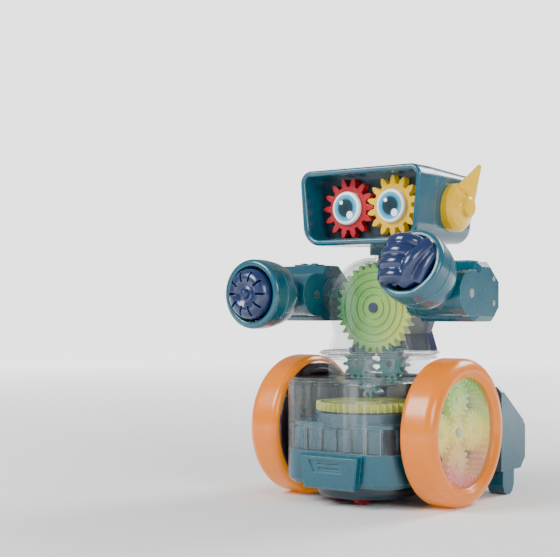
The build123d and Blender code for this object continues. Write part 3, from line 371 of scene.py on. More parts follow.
@dataclass(frozen=True)
class LitCup:
    """Gear cup of a wheel: dark from behind, its teeth and floor lit from inside."""

    name: str
    lit: Lit
    dark: Colour
    start: float
    stop: float
    edge_radius: float = 0.0006
    edge_share: float = 0.8
    edge_colour: Colour = (0.95, 1.0, 0.85)

    def make(self) -> bpy.types.Material:
        """Build the material.

        Returns:
            The finished material.
        """
        graph = Graph(self.name)
        inwards = graph.math("ABSOLUTE", graph.place_axis(Direction.ACROSS))
        depth = graph.spread(inwards, 0.0, 1.0, self.start, self.stop)
        soft, mask = graph.edges(self.edge_radius)
        # Painted lamp light on the teeth and floor, with pale highlights painted along the sharp edges
        # and a painted glow.
        light = self.lit.colour(graph, Direction.UP, 90.0, 0.12)
        tooth = graph.blend(graph.math("MULTIPLY", mask, self.edge_share), light, self.edge_colour)
        graph.link(graph.blend(depth, self.dark, tooth), graph.shader.inputs["Base Color"])
        graph.link(graph.blend(depth, (0.0, 0.0, 0.0), tooth), graph.shader.inputs["Emission Color"])
        graph.link(graph.spread(graph.noise(80.0), 0.16, 0.30), graph.shader.inputs["Roughness"])
        graph.set(Emission_Strength=self.lit.glow, Coat_Weight=0.5, Coat_Roughness=0.05)
        graph.grain(700.0, 0.04, soft)
        return graph.material


@dataclass(frozen=True)
class Clear:
    """Clear moulded plastic: nearly invisible face on, glossy, with pale highlights painted along its
    edges and pale painted reflection streaks.
    """

    name: str
    tint: Colour = (0.22, 0.27, 0.29)
    least: float = 0.05
    most: float = 0.85
    reflection_streak_depth: float = 0.09
    edge_radius: float = 0.00045
    facing_blend: float = 0.32
    haze: float = 0.05
    edge_cover: float = 0.55
    reflection_streak_cells: tuple[float, float, float] = (110.0, 110.0, 10.0)
    glare: Colour = (0.88, 0.94, 0.96)

    def make(self) -> bpy.types.Material:
        """Build the material.

        Returns:
            The finished material.
        """
        graph = Graph(self.name)
        facing = graph.node("ShaderNodeLayerWeight")
        facing.inputs["Blend"].default_value = self.facing_blend
        soft, mask = graph.edges(self.edge_radius)
        cover = graph.spread(facing.outputs["Facing"], self.least, self.most, 0.22, 1.0)
        haze = graph.spread(graph.noise(22.0), 0.0, self.haze)
        # Painted highlight: the sharp edges are made more opaque and painted in the pale glare colour.
        edge = graph.math("MULTIPLY", mask, self.edge_cover)
        # Painted reflections: pale streaks drawn out up the part.
        drawn = graph.spread(graph.streaks(Vector(self.reflection_streak_cells)), 0.0, self.reflection_streak_depth, 0.56, 0.68)
        # Where the pale glare colour is painted: the edges and the reflection streaks.
        pale = graph.math("MAXIMUM", mask, graph.math("MULTIPLY", drawn, 4.0))
        face, detail = graph.math("ADD", cover, haze), graph.math("ADD", edge, drawn)
        cover_all = graph.math("ADD", face, detail)
        graph.link(cover_all, graph.shader.inputs["Alpha"])
        graph.link(graph.blend(pale, self.tint, self.glare), graph.shader.inputs["Base Color"])
        graph.link(graph.spread(graph.noise(50.0), 0.03, 0.09), graph.shader.inputs["Roughness"])
        graph.set(IOR=1.49, Coat_Weight=1.0, Coat_Roughness=0.03, Specular_IOR_Level=0.9)
        graph.grain(120.0, 0.03, soft)
        graph.material.blend_method = "BLEND"
        return graph.material


@dataclass(frozen=True)
class Metal:
    """Turned or drawn steel with fine lines."""

    name: str
    colour: Colour = (0.55, 0.56, 0.58)
    roughness: float = 0.28

    def make(self) -> bpy.types.Material:
        """Build the material.

        Returns:
            The finished material.
        """
        graph = Graph(self.name)
        dull = tuple(0.7 * part for part in self.colour)
        graph.link(graph.blend(graph.noise(300.0), self.colour, dull), graph.shader.inputs["Base Color"])
        graph.link(graph.spread(graph.noise(800.0), self.roughness - 0.1, self.roughness + 0.1),
                   graph.shader.inputs["Roughness"])
        graph.set(Metallic=1.0)
        graph.grain(2500.0, 0.08)
        return graph.material


@dataclass(frozen=True)
class EyePrint:
    """Printed eye under a clear dome: pale ring, blue iris, dark pupil and two glints."""

    name: str
    spacing: float
    height: float
    radius: float

    def glint(self, graph: Graph, x: Socket, z: Socket, across: float, up: float,
              size: float) -> Socket:
        """Mask of one round glint, with its place and size as shares of the eye's radius.

        Args:
            graph: Graph to build in.
            x: Place across the eye, in metres from its middle.
            z: Place up the eye, in metres from its middle.
            across: The glint's place across.
            up: The glint's place up.
            size: The glint's radius.

        Returns:
            A socket that is 1 inside the glint.
        """
        squares = []
        for value, centre in ((x, across), (z, up)):
            away = graph.math("ABSOLUTE", graph.math("SUBTRACT", value, centre * self.radius))
            squares.append(graph.math("POWER", away, 2.0))
        far = graph.math("SQRT", graph.math("ADD", *squares))
        reach = size * self.radius
        return graph.spread(far, 1.0, 0.0, reach * 0.85, reach)

    def make(self) -> bpy.types.Material:
        """Build the material.

        Returns:
            The finished material.
        """
        graph = Graph(self.name)
        across, up = graph.place_axis(Direction.ACROSS), graph.place_axis(Direction.UP)
        nearest = graph.math("MULTIPLY", graph.math("SIGN", across), self.spacing)
        x = graph.math("SUBTRACT", across, nearest)
        z = graph.math("SUBTRACT", up, self.height)
        squares = graph.math("ADD", graph.math("MULTIPLY", x, x), graph.math("MULTIPLY", z, z))
        far = graph.math("DIVIDE", graph.math("SQRT", squares), self.radius)
        rings = graph.ramp(far, [
            (0.00, (0.004, 0.02, 0.03)), (0.98, (0.80, 0.86, 0.90)), (0.50, (0.006, 0.035, 0.05)),
            (0.56, (0.02, 0.20, 0.36)), (0.68, (0.05, 0.36, 0.52)), (0.76, (0.10, 0.48, 0.62)),
            (0.79, (0.02, 0.12, 0.22)), (0.82, (0.92, 0.93, 0.97))])
        large = self.glint(graph, x, z, 0.30, -0.42, 0.24)
        small = self.glint(graph, x, z, -0.32, 0.34, 0.13)
        glints = graph.math("MAXIMUM", large, small)
        graph.link(graph.blend(glints, rings, (1.0, 1.0, 1.0)), graph.shader.inputs["Base Color"])
        graph.link(graph.spread(graph.noise(120.0), 0.06, 0.14), graph.shader.inputs["Roughness"])
        graph.set(Coat_Weight=1.0, Coat_Roughness=0.02)
        graph.grain(200.0, 0.01)
        return graph.material


class Finish(Enum):
    """The finishes that the robot's pieces are moulded, printed or turned in."""

    # Each Moulded finish lists its colour, a darker colour mixed in at random as mottling, and the
    # colour of its painted edge highlight, which is also the colour of its painted glow.
    TEAL = Moulded("teal_shell", (0.004, 0.085, 0.128), (0.002, 0.062, 0.100), (0.10, 0.40, 0.50), 0.24)
    DARK_TEAL = Moulded(
        "dark_teal_shell", (0.003, 0.030, 0.048), (0.002, 0.020, 0.034), (0.03, 0.14, 0.19), 0.30)
    BLUE = Moulded(
        "dark_blue_hand", (0.006, 0.020, 0.085), (0.004, 0.013, 0.060), (0.07, 0.15, 0.38), 0.22)
    ORANGE = Moulded("orange_rim", (0.66, 0.150, 0.0), (0.54, 0.080, 0.0), (1.0, 0.36, 0.0), 0.24,
                     edge_radius=0.0009, coat=0.2, grain_depth=0.03, painted_glow=0.28)
    YELLOW = Moulded("yellow_ear", (0.78, 0.46, 0.0), (0.66, 0.33, 0.0), (1.0, 0.70, 0.0), 0.28,
                     coat=0.2, painted_glow=0.12)
    RED = Moulded("red_gear", (0.42, 0.001, 0.010), (0.30, 0.001, 0.006), (0.75, 0.03, 0.06), 0.28)
    GEAR_TEAL = Moulded(
        "small_teal_gear", (0.008, 0.150, 0.165), (0.004, 0.10, 0.12), (0.10, 0.48, 0.50), 0.28)
    DARK = Moulded(
        "dark_wheel_plate", (0.022, 0.009, 0.014), (0.012, 0.005, 0.008), (0.11, 0.06, 0.07), 0.2)
    BOARD = Moulded("circuit_board_green", (0.01, 0.12, 0.04), (0.008, 0.08, 0.03), (0.3, 0.4, 0.2), 0.5)
    MOTOR = Moulded("motor_casing_grey", (0.30, 0.31, 0.33), (0.20, 0.21, 0.23), (0.6, 0.6, 0.6), 0.5)
    CLEAR = Clear("clear_cover")
    WINDOW = Clear("clear_wheel_window", (0.40, 0.46, 0.30), least=0.04, most=0.5)
    STEEL = Metal("steel")


class Finishes:
    """Makes each finish once and puts it on pieces."""

    def __init__(self) -> None:
        """Start with nothing made."""
        self.made: dict[str, bpy.types.Material] = {}

    def get(self, finish: object) -> bpy.types.Material:
        """Material of a finish, made the first time it is asked for.

        Args:
            finish: A member of Finish or a finish dataclass.

        Returns:
            The material.
        """
        recipe = finish.value if isinstance(finish, Finish) else finish
        if recipe.name not in self.made:
            self.made[recipe.name] = recipe.make()
        return self.made[recipe.name]

    def dress(self, finish: object, *nodes: str) -> None:
        """Put a finish on CAD nodes.

        Args:
            finish: The finish.
            *nodes: Names of the nodes.
        """
        for node in nodes:
            slots = FRAME["nodes"][node].data.materials
            slots.clear()
            slots.append(self.get(finish))
            LOG.info("%s wears %s", node, self.get(finish).name)


FINISHES = Finishes()


# ---------------------------------------------------------------- repeated details
class Repeats:
    """Copies of one small shape on a set of points, made with geometry nodes."""

    crown_radius = 0.8  # the raised middle of a copy, as a share of its radius
    crown_height = 1.35  # and of its height

    def __init__(self, name: str, finish: object) -> None:
        """Start a tree.

        Args:
            name: Name of the tree and of the piece it makes.
            finish: Finish of every copy.
        """
        self.name = name
        self.finish = finish
        self.tree = bpy.data.node_groups.new(name, "GeometryNodeTree")
        face = self.tree.interface
        face.new_socket("Geometry", in_out="INPUT", socket_type="NodeSocketGeometry")
        face.new_socket("Geometry", in_out="OUTPUT", socket_type="NodeSocketGeometry")
        self.sockets: dict[str, str] = {}
        for label, kind in (("Radius", "NodeSocketFloat"), ("Height", "NodeSocketFloat"),
                            ("Facing", "NodeSocketVector"), ("Sides", "NodeSocketInt"),
                            ("Crown Radius", "NodeSocketFloat"), ("Crown Height", "NodeSocketFloat")):
            self.sockets[label] = face.new_socket(label, in_out="INPUT", socket_type=kind).identifier
        self.enter = self.tree.nodes.new("NodeGroupInput")
        self.leave = self.tree.nodes.new("NodeGroupOutput")

    def wire(self) -> None:
        """Join the nodes: a domed button on every point, turned to face one way."""
        nodes, link = self.tree.nodes, self.tree.links.new
        join = nodes.new("GeometryNodeJoinGeometry")
        for kind in ("", "Crown "):
            drum = nodes.new("GeometryNodeMeshCylinder")
            link(self.enter.outputs["Sides"], drum.inputs["Vertices"])
            link(self.enter.outputs[kind + "Radius"], drum.inputs["Radius"])
            link(self.enter.outputs[kind + "Height"], drum.inputs["Depth"])
            link(drum.outputs["Mesh"], join.inputs[0])
        turn = nodes.new("FunctionNodeAlignRotationToVector")
        turn.axis = "Z"
        link(self.enter.outputs["Facing"], turn.inputs["Vector"])
        place = nodes.new("GeometryNodeInstanceOnPoints")
        link(self.enter.outputs["Geometry"], place.inputs["Points"])
        link(join.outputs[0], place.inputs["Instance"])
        link(turn.outputs[0], place.inputs["Rotation"])
        real = nodes.new("GeometryNodeRealizeInstances")
        link(place.outputs[0], real.inputs[0])
        dress = nodes.new("GeometryNodeSetMaterial")
        dress.inputs["Material"].default_value = FINISHES.get(self.finish)
        link(real.outputs[0], dress.inputs["Geometry"])
        link(dress.outputs[0], self.leave.inputs[0])

    def place(self, points: list[Vector], facing: Vector, radius: float, height: float, body: str,
              slot: str, sides: int = 24) -> bpy.types.Object:
        """Run the tree and leave a plain mesh.

        Args:
            points: Middles of the copies, in metres.
            facing: Direction that the copies face.
            radius: Radius of a copy.
            height: Height of a copy.
            body: Body that the piece rides on.
            slot: Material slot of the record; not used.
            sides: Sides of each round copy.

        Returns:
            The finished piece.
        """
        self.wire()
        seed = bpy.data.meshes.new(self.name + "_points")
        seed.from_pydata([tuple(p) for p in points], [], [])
        piece = bpy.data.objects.new(self.name, seed)
        bpy.context.scene.collection.objects.link(piece)
        modifier = piece.modifiers.new("repeats", "NODES")
        modifier.node_group = self.tree
        modifier[self.sockets["Radius"]] = radius
        modifier[self.sockets["Height"]] = height
        modifier[self.sockets["Facing"]] = tuple(facing)
        modifier[self.sockets["Sides"]] = sides
        modifier[self.sockets["Crown Radius"]] = radius * self.crown_radius
        modifier[self.sockets["Crown Height"]] = height * self.crown_height
        graph = bpy.context.evaluated_depsgraph_get()
        mesh = bpy.data.meshes.new_from_object(piece.evaluated_get(graph))
        piece.modifiers.remove(modifier)
        piece.data = mesh
        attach(piece, body)
        LOG.info("%s: %d copies on %s", self.name, len(points), body)
        return piece


# -------------------------------------------------------------------- sub-assemblies
def middle(node: str) -> Vector:
    """Centre of a CAD node's box, in metres."""
    low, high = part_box(node)
    return (low + high) / 2


def turned(name: str, outline: list[tuple[float, float]], outward: float, centre: Vector, finish: object,
           body: str, steps: int = 96, upright: bool = False) -> bpy.types.Object:
    """Turn a closed outline round an axis into a ring.

    Args:
        name: The piece's name.
        outline: Points as distance along the axis and radius.
        outward: Sign of the axis.
        centre: A point on the axis; its place along the axis is the outline's own.
        finish: The ring's finish.
        body: Body that it rides on.
        steps: Steps round the ring.
        upright: Whether the axis is Z instead of X.

    Returns:
        The ring.
    """
    count = len(outline)
    points, faces = [], []
    for step in range(steps):
        angle = 2 * math.pi * step / steps
        for along, radius in outline:
            side, rise = radius * math.cos(angle), radius * math.sin(angle)
            if upright:
                points.append((centre.x + side, centre.y + rise, outward * along))
            else:
                points.append((outward * along, centre.y + side, centre.z + rise))
        after = (step + 1) % steps
        for index in range(count):
            following = (index + 1) % count
            faces.append((step * count + index, after * count + index, after * count + following,
                          step * count + following))
    mesh = bpy.data.meshes.new(name)
    mesh.from_pydata(points, [], faces)
    shell = bmesh.new()
    shell.from_mesh(mesh)
    bmesh.ops.recalc_face_normals(shell, faces=shell.faces)
    shell.to_mesh(mesh)
    shell.free()
    for face in mesh.polygons:
        face.use_smooth = True
    mesh.materials.append(FINISHES.get(finish))
    ring = bpy.data.objects.new(name, mesh)
    bpy.context.scene.collection.objects.link(ring)
    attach(ring, body)
    LOG.info("%s turned on %s", name, body)
    return ring


@dataclass
class Wheel:
    """One big wheel: rim, dark gear cup, clear window and lit planetary gears."""

    side: str
    plate_step: float = 1.0 * MM
    studs: tuple[tuple[float, int], ...] = ((27.0 * MM, 18), (18.0 * MM, 9))
    stud_radius: float = 1.44 * MM
    stud_height: float = 1.4 * MM
    lamp_margin: float = 4.0 * MM
    lit_from: float = 3.0 * MM
    lit_to: float = 8.0 * MM

    def build(self) -> None:
        """Add the dark dish and the two rings of moulded studs on the inner plate."""
        low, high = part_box(f"{self.side}_wheel_inner_gear")
        centre = middle(f"{self.side}_wheel_rim")
        outward = 1.0 if centre.x > 0 else -1.0
        plate = low.x + self.plate_step if outward > 0 else high.x - self.plate_step
        points = []
        for ring, count in self.studs:
            for index in range(count):
                angle = 2 * math.pi * index / count
                away = Vector((0, ring * math.cos(angle), ring * math.sin(angle)))
                points.append(Vector((plate, centre.y, centre.z)) + away)
        self.dish(outward, centre)
        Repeats(f"{self.side}_wheel_plate_studs", Finish.DARK).place(
            points, Vector((-outward, 0, 0)), self.stud_radius, self.stud_height,
            f"{self.side}_wheel", "dark_plastic")

    def dish(self, outward: float, centre: Vector) -> None:
        """Lay the dark dished disc that hides the rim's inner face.

        Args:
            outward: 1 for the robot's left wheel and -1 for its right.
            centre: Middle of the wheel.
        """
        low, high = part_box(f"{self.side}_wheel_rim")
        face = min(abs(low.x), abs(high.x))
        outline = [(face + step * MM, radius * MM) for step, radius in (
            (0.1, 30.0), (-0.5, 30.4), (-1.2, 33.5), (-1.0, 37.0), (-0.3, 38.6), (0.1, 38.8))]
        turned(f"{self.side}_wheel_dish", outline, outward, centre, Finish.DARK,
               f"{self.side}_wheel")

    def dress(self) -> None:
        """Put the finishes on the wheel's CAD nodes."""
        side = self.side
        low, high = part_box(f"{side}_wheel_inner_gear")
        lit = Lit(f"{side}_wheel_lit_gears", (0.70, 0.10, 0.16), (0.72, 0.62, 0.03), (0.16, 0.46, 0.05),
                  Direction.UP, low.z + self.lamp_margin, high.z - self.lamp_margin, 0.45)
        FINISHES.dress(Finish.ORANGE, f"{side}_wheel_rim")
        FINISHES.dress(Finish.WINDOW, f"{side}_wheel_cover")
        FINISHES.dress(lit, f"{side}_sun_gear", *[f"{side}_planet_gear_{n}" for n in range(1, 5)])
        inner = min(abs(low.x), abs(high.x))
        cup = LitCup(f"{side}_wheel_cup", lit, (0.022, 0.009, 0.014), inner + self.lit_from,
                     inner + self.lit_to)
        FINISHES.dress(cup, f"{side}_wheel_inner_gear")


@dataclass
class Base:
    """Bumper, clear cowl, gear deck, turning drive and what is inside."""

    def dress(self) -> None:
        """Put the finishes on the base's CAD nodes."""
        FINISHES.dress(Finish.TEAL, "base_tray", "grille_insert", "gear_deck")
        FINISHES.dress(Finish.CLEAR, "front_cowl", "waist_deck")
        FINISHES.dress(Finish.DARK_TEAL, "turntable_disc")
        FINISHES.dress(Finish.RED, "drive_wheels")
        FINISHES.dress(Finish.STEEL, "drive_axle", "wheel_axle", "chassis_screws")
        # The crown gear and carriers: lime painted lighter from one side of the robot to the other, with
        # a faint painted glow and pale painted edge highlights.
        low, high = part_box("crown_gear")
        FINISHES.dress(Lit("crown_gear_lime", (0.40, 0.46, 0.02), (0.50, 0.54, 0.03), (0.60, 0.62, 0.05),
                           Direction.ACROSS, low.x, high.x, 0.08), "crown_gear", "planet_carriers")
        FINISHES.dress(Finish.GEAR_TEAL, "steer_pinion", "motor_pinion", "waist_gear_left",
                       "waist_gear_right")
        FINISHES.dress(Finish.MOTOR, "gear_motor")
        FINISHES.dress(Finish.BOARD, "circuit_board")


@dataclass
class Chest:
    """Clear drum, big lit gear and dark blue rear cover."""

    screw_ring: float = 18.0 * MM
    screw_radius: float = 1.9 * MM
    screw_height: float = 1.0 * MM
    waist_rings: tuple[tuple[float, float], ...] = ((-4.2 * MM, -0.6 * MM), (-1.2 * MM, 0.9 * MM))

    def rings(self) -> None:
        """Turn the two clear steps round the waist box's flange."""
        low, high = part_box("waist_deck")
        reach = (high.x - low.x) / 2
        for number, (rise, grow) in enumerate(self.waist_rings):
            level, radius = high.z + rise, reach + grow
            outline = [(level + step * MM, radius + out * MM) for step, out in (
                (-0.8, -1.0), (-0.3, 0.4), (0.3, 0.4), (0.8, -1.0), (0.3, -1.8), (-0.3, -1.8))]
            turned(f"waist_ring_{number + 1}", outline, 1.0, middle("waist_deck"), Finish.CLEAR,
                   "chassis", upright=True)

    def build(self) -> None:
        """Add the clear steps at the waist and the screws of the rear cover."""
        self.rings()
        centre = middle("torso_gear")
        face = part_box("torso_back_cover")[1].y - SINK
        points = []
        for number in range(4):
            angle = math.radians(45 + 90 * number)
            away = Vector((math.cos(angle), 0, math.sin(angle))) * self.screw_ring
            points.append(Vector((centre.x, face, centre.z)) + away)
        Repeats("chest_cover_screws", Finish.STEEL).place(
            points, Vector((0, 1, 0)), self.screw_radius, self.screw_height, "chassis", "steel")

    def dress(self) -> None:
        """Put the finishes on the chest's CAD nodes."""
        low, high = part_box("torso_gear")
        lit = Lit("chest_gear_lit", (0.01, 0.22, 0.03), (0.20, 0.46, 0.06), (0.58, 0.66, 0.08),
                  Direction.ACROSS, low.x, high.x, 0.18)
        FINISHES.dress(lit, "torso_gear")
        FINISHES.dress(Finish.CLEAR, "torso_front_shell")
        FINISHES.dress(Finish.BLUE, "torso_back_cover")


@dataclass
class Head:
    """Visor head with two eye gears, printed eyes and horned ears."""

    screw_inset: float = 12.0 * MM
    screw_rise: float = 9.0 * MM
    screw_sink: float = 0.3 * MM
    screw_radius: float = 1.9 * MM
    screw_height: float = 1.0 * MM

    def build(self) -> None:
        """Add the screws in the back of the head, two in each shell."""
        low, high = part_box("head_lower_shell")
        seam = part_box("head_upper_shell")[0].z
        points = [Vector((x, high.y - self.screw_sink, z))
                  for x in (low.x + self.screw_inset, high.x - self.screw_inset)
                  for z in (high.z - self.screw_rise, seam + self.screw_rise)]
        Repeats("head_back_screws", Finish.STEEL).place(
            points, Vector((0, 1, 0)), self.screw_radius, self.screw_height, "head", "steel")

    def dress(self) -> None:
        """Put the finishes on the head's CAD nodes."""
        low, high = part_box("eye_discs")
        spacing = (high.x - low.x) / 2 - (high.z - low.z) / 2
        FINISHES.dress(Finish.TEAL, "visor_bezel", "head_upper_shell", "head_lower_shell")
        FINISHES.dress(Finish.DARK_TEAL, "eye_panel")
        FINISHES.dress(Finish.RED, "red_eye_gear")
        FINISHES.dress(Finish.YELLOW, "yellow_eye_gear", "left_ear", "right_ear")
        radius = (high.z - low.z) / 2
        FINISHES.dress(EyePrint("eye_print", spacing, middle("eye_discs").z, radius), "eye_discs")


@dataclass
class Fist:
    """Clenched left hand: a palm, four curled fingers one above another and a thumb.

    The palm's middle and half sizes and the three paths are in millimetres, in the
    hand's own space, as frame() places it.
    """

    lift: float = 24.0
    finger_count: int = 4
    finger_radius: float = 4.3 * MM
    finger_pitch: float = 7.0 * MM
    finger_taper: float = 0.08
    longest_finger: float = 1.4
    thumb_radius: float = 4.0 * MM
    thumb_root: float = 4.3 * MM
    seat: float = 31.0 * MM
    voxel: float = 0.6 * MM
    palm: tuple[Place, Place] = ((0.5, 0, 4.5), (12.0, 13.6, 9.0))
    finger: tuple[Place, ...] = (
        (4.5, 0, 12), (1, 0, 16.5), (-6, 0, 17.2), (-12.5, 0, 14), (-13, 0, 7), (-8, 0, 4))
    thumb: tuple[Place, ...] = ((2.5, -12, 12), (5, -5.5, 16), (8.2, 1.5, 15.5), (10.5, 9.0, 11))
    heel: tuple[Place, ...] = ((7.5, -11.5, 8), (10.5, -3.5, 10.5), (12.5, 4.5, 8))

    def frame(self) -> Matrix:
        """Place of the hand: x across the robot, y towards the knuckles' top, z out of the cup.

        Returns:
            The matrix from the hand's own space to the robot's.
        """
        joint = [j for j in FRAME["joints"] if j["name"] == "left_elbow_bend"][0]
        lift = math.radians(self.lift)
        out = Vector((0, -math.cos(lift), math.sin(lift)))
        across = Vector((1, 0, 0))
        up = out.cross(across)
        origin = Vector(joint["pos_m"]) + out * self.seat
        turn = Matrix((across, up, out)).transposed().to_4x4()
        return Matrix.Translation(origin) @ turn

    def blob(self, points: list[Vector], radius: float) -> bpy.types.Object:
        """A round tube that follows some points.

        Args:
            points: Points that guide the tube, in the hand's space.
            radius: Radius of the tube.

        Returns:
            The tube as one object.
        """
        curve = bpy.data.curves.new("finger", "CURVE")
        curve.dimensions = "3D"
        curve.bevel_depth = radius
        curve.bevel_resolution = 6
        curve.use_fill_caps = True
        spline = curve.splines.new("NURBS")
        spline.points.add(len(points) - 1)
        for point, place in zip(spline.points, points):
            point.co = (*place, 1)
        spline.order_u = 3
        spline.use_endpoint_u = True
        holder = bpy.data.objects.new("finger", curve)
        bpy.context.scene.collection.objects.link(holder)
        graph = bpy.context.evaluated_depsgraph_get()
        mesh = bpy.data.meshes.new_from_object(holder.evaluated_get(graph))
        bpy.data.objects.remove(holder)
        tube = bpy.data.objects.new("finger_tube", mesh)
        bpy.context.scene.collection.objects.link(tube)
        return tube

    def ball(self, centre: Vector, size: Vector) -> bpy.types.Object:
        """An egg-shaped lump.

        Args:
            centre: Its middle, in the hand's space.
            size: Its three half sizes.

        Returns:
            The lump.
        """
        bpy.ops.mesh.primitive_uv_sphere_add(segments=32, ring_count=20, radius=1.0)
        lump = bpy.context.object
        lump.data.transform(Matrix.Translation(centre) @ Matrix.Diagonal((*size, 1)))
        return lump

    def knob(self, centre: Vector, radius: float) -> bpy.types.Object:
        """A round lump that closes a chain's end."""
        return self.ball(centre, Vector((radius, radius, radius)))

    def lumps(self) -> list[bpy.types.Object]:
        """All the lumps that the hand is melted from.

        Returns:
            The lumps, in the hand's space.
        """
        made = [self.ball(*(Vector(part) * MM for part in self.palm))]
        for index in range(self.finger_count):
            up = (index - (self.finger_count - 1) / 2) * self.finger_pitch
            reach = (1.0 - self.finger_taper * abs(index - self.longest_finger)) * MM
            points = [Vector((x * reach, up, z * reach)) for x, _, z in self.finger]
            made.append(self.blob(points, self.finger_radius))
            made.append(self.knob(points[0], self.finger_radius))
        thumb, heel = ([Vector(place) * MM for place in path] for path in (self.thumb, self.heel))
        made.append(self.blob(thumb, self.thumb_radius))
        made.append(self.knob(thumb[0], self.thumb_root))
        made.append(self.knob(thumb[-1], self.thumb_radius))
        made.append(self.blob(heel, self.thumb_radius))
        made.append(self.knob(heel[-1], self.thumb_radius))
        return made

    def build(self) -> None:
        """Melt the lumps together and replace the plain CAD hand."""
        lumps = self.lumps()
        bpy.ops.object.select_all(action="DESELECT")
        for lump in lumps:
            lump.select_set(True)
        bpy.context.view_layer.objects.active = lumps[0]
        bpy.ops.object.join()
        hand = bpy.context.object
        hand.name = "left_hand_sculpted"
        melt = hand.modifiers.new("melt", "REMESH")
        melt.mode = "VOXEL"
        melt.voxel_size = self.voxel
        smooth = hand.modifiers.new("smooth", "SMOOTH")
        smooth.factor = 0.5
        smooth.iterations = 3
        graph = bpy.context.evaluated_depsgraph_get()
        mesh = bpy.data.meshes.new_from_object(hand.evaluated_get(graph))
        hand.modifiers.clear()
        hand.data = mesh
        hand.data.transform(self.frame())
        hand.matrix_world = Matrix.Identity(4)
        mesh.materials.clear()
        mesh.materials.append(FINISHES.get(Finish.BLUE))
        for face in mesh.polygons:
            face.use_smooth = True
        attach(hand, "left_forearm")
        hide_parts("left_fist")
        LOG.info("left hand sculpted: %d faces", len(mesh.polygons))


@dataclass
class Arm:
    """Shoulder block, elbow pin and forearm cup of one side."""

    side: str
    screw_inset: float = 9.0 * MM
    screw_radius: float = 1.7 * MM
    screw_height: float = 1.0 * MM

    def build(self) -> None:
        """Add the two casing screws on the shoulder's outer face."""
        low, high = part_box(f"{self.side}_shoulder_block")
        out = 1.0 if high.x > 0 and low.x > 0 else -1.0
        face = high.x if out > 0 else low.x
        depth = high.y - self.screw_inset
        points = [Vector((face - out * SINK, depth, low.z + share * (high.z - low.z)))
                  for share in (0.3, 0.7)]
        Repeats(f"{self.side}_shoulder_screws", Finish.STEEL).place(
            points, Vector((out, 0, 0)), self.screw_radius, self.screw_height,
            f"{self.side}_shoulder", "steel")

    def dress(self) -> None:
        """Put the finishes on the arm's CAD nodes."""
        FINISHES.dress(Finish.TEAL, f"{self.side}_shoulder_block", f"{self.side}_forearm_cup")
        FINISHES.dress(Finish.STEEL, f"{self.side}_elbow_pin")


@dataclass
class Rear:
    """Rear casing with the battery box, door, switch, feet and a vent."""

    vent_columns: int = 9
    vent_rows: int = 5
    vent_pitch: float = 3.4 * MM
    row_pitch: float = 2.38 * MM
    vent_inset: float = 4.0 * MM
    stud_radius: float = 0.9 * MM
    stud_height: float = 1.0 * MM
    stud_sides: int = 12

    def build(self) -> None:
        """Add the vent's rows of small studs on the casing's roof."""
        low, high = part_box("rear_housing")
        start = Vector((-(self.vent_columns - 1) / 2 * self.vent_pitch, low.y + self.vent_inset,
                        high.z - SINK))
        points = [start + Vector((column * self.vent_pitch, row * self.row_pitch, 0))
                  for column in range(self.vent_columns) for row in range(self.vent_rows)]
        Repeats("rear_vent_studs", Finish.DARK).place(
            points, Vector((0, 0, 1)), self.stud_radius, self.stud_height, "chassis", "dark_plastic",
            self.stud_sides)

    def dress(self) -> None:
        """Put the finishes on the rear's CAD nodes."""
        FINISHES.dress(Finish.TEAL, "rear_housing", "battery_door", "rear_feet")
        FINISHES.dress(Finish.DARK, "power_switch_knob", "battery_contacts")
        FINISHES.dress(Metal("cell_wrap", (0.62, 0.60, 0.52), 0.35), "battery_cells")


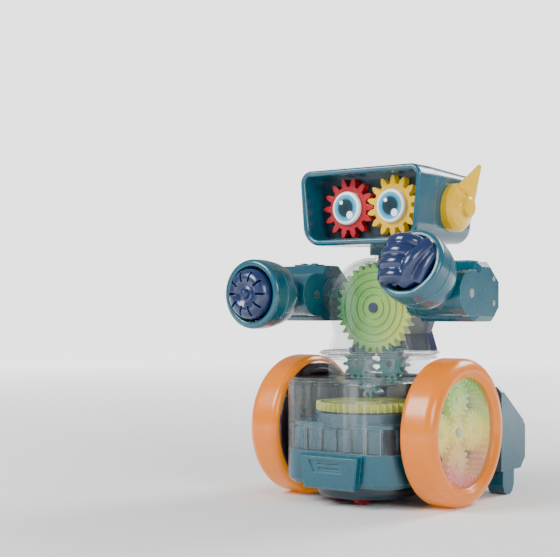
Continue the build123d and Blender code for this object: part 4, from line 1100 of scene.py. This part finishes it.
# ------------------------------------------------------------------ studio and camera
@dataclass
class Studio:
    """Plain pale floor and backdrop, soft lights and the camera."""

    azimuth: float = 34.3
    elevation: float = 1.0
    distance: float = 0.709
    focal: float = 76.2
    shift_across: float = -0.172
    shift_up: float = 0.094
    aim_height: float = 0.1
    floor_size: float = 4.0
    floor_glow: float = 2.3
    backdrop: float = 2.6
    surroundings: float = 0.42

    def floor(self) -> None:
        """Lay one flat pale sheet that grows brighter away from the robot."""
        paper = Graph("paper")
        paper.link(paper.blend(paper.noise(3.0), (0.90, 0.90, 0.90), (0.87, 0.87, 0.88)),
                   paper.shader.inputs["Base Color"])
        paper.set(Roughness=0.85)
        far = paper.node("ShaderNodeVectorMath", operation="LENGTH")
        paper.link(paper.place, far.inputs[0])
        paper.shader.inputs["Emission Color"].default_value = (1, 1, 1, 1)
        fade = paper.spread(far.outputs["Value"], 0.0, self.floor_glow, 0.2, 1.8)
        paper.link(fade, paper.shader.inputs["Emission Strength"])
        mesh = bpy.data.meshes.new("floor")
        size = self.floor_size
        corners = [(-size, -size, 0), (size, -size, 0), (size, size, 0), (-size, size, 0)]
        mesh.from_pydata(corners, [], [(0, 1, 2, 3)])
        mesh.materials.append(paper.material)
        floor = bpy.data.objects.new("floor", mesh)
        bpy.context.scene.collection.objects.link(floor)

    def lamp(self, name: str, place: Vector, size: float, power: float, colour: Colour) -> None:
        """Hang one square soft light that faces the robot.

        Args:
            name: The light's name.
            place: Where it hangs, in metres.
            size: Its side.
            power: Its power in watts.
            colour: Its colour.
        """
        light = bpy.data.lights.new(name, "AREA")
        light.size = size
        light.energy = power
        light.color = colour
        holder = bpy.data.objects.new(name, light)
        holder.location = place
        aim = Vector((0, 0, self.aim_height)) - place
        holder.rotation_euler = aim.to_track_quat("-Z", "Y").to_euler()
        bpy.context.scene.collection.objects.link(holder)

    def lights(self) -> None:
        """Light the robot from the front left, the right and behind."""
        self.lamp("key", Vector((-0.45, -0.85, 0.75)), 0.5, 15.0, (1.0, 0.98, 0.95))
        self.lamp("fill", Vector((1.1, -0.55, 0.55)), 0.5, 9.0, (0.96, 0.98, 1.0))
        self.lamp("rim", Vector((0.3, 0.9, 0.8)), 0.5, 12.0, (1.0, 1.0, 1.0))
        world = bpy.data.worlds.new("studio")
        world.use_nodes = True
        nodes, links = world.node_tree.nodes, world.node_tree.links
        around = nodes["Background"]
        around.inputs[0].default_value = (0.93, 0.96, 1.0, 1)
        around.inputs[1].default_value = self.surroundings
        behind = nodes.new("ShaderNodeBackground")
        behind.inputs[0].default_value = (1.0, 1.0, 1.0, 1)
        behind.inputs[1].default_value = self.backdrop
        path, mix = nodes.new("ShaderNodeLightPath"), nodes.new("ShaderNodeMixShader")
        links.new(path.outputs["Is Camera Ray"], mix.inputs[0])
        links.new(around.outputs[0], mix.inputs[1])
        links.new(behind.outputs[0], mix.inputs[2])
        links.new(mix.outputs[0], nodes["World Output"].inputs["Surface"])
        bpy.context.scene.world = world

    def camera(self) -> None:
        """Set the camera at the robot's front left."""
        lens = bpy.data.cameras.new("camera")
        lens.lens = self.focal
        lens.shift_x = self.shift_across
        lens.shift_y = self.shift_up
        lens.clip_start = 0.02
        around, rise = math.radians(self.azimuth), math.radians(self.elevation)
        level = math.cos(rise)
        back = Vector((math.sin(around) * level, -math.cos(around) * level, math.sin(rise)))
        aim = Vector((0, middle("wheel_axle").y, self.aim_height))
        holder = bpy.data.objects.new("camera", lens)
        holder.location = aim + back * self.distance
        holder.rotation_euler = (-back).to_track_quat("-Z", "Y").to_euler()
        bpy.context.scene.collection.objects.link(holder)
        bpy.context.scene.camera = holder


def main() -> None:
    """Build and dress every sub-assembly, then the studio."""
    logging.basicConfig(level=logging.INFO)
    assemblies = [Wheel("left"), Wheel("right"), Chest(), Head(), Arm("left"), Arm("right"), Rear(),
                  Fist(), Base()]
    for part in assemblies:
        for step in ("build", "dress"):
            if hasattr(part, step):
                getattr(part, step)()
        LOG.info("%s done", type(part).__name__)
    FINISHES.dress(Finish.BLUE, "right_nozzle")
    studio = Studio()
    studio.floor()
    studio.lights()
    studio.camera()


if __name__ == "__main__":
    main()
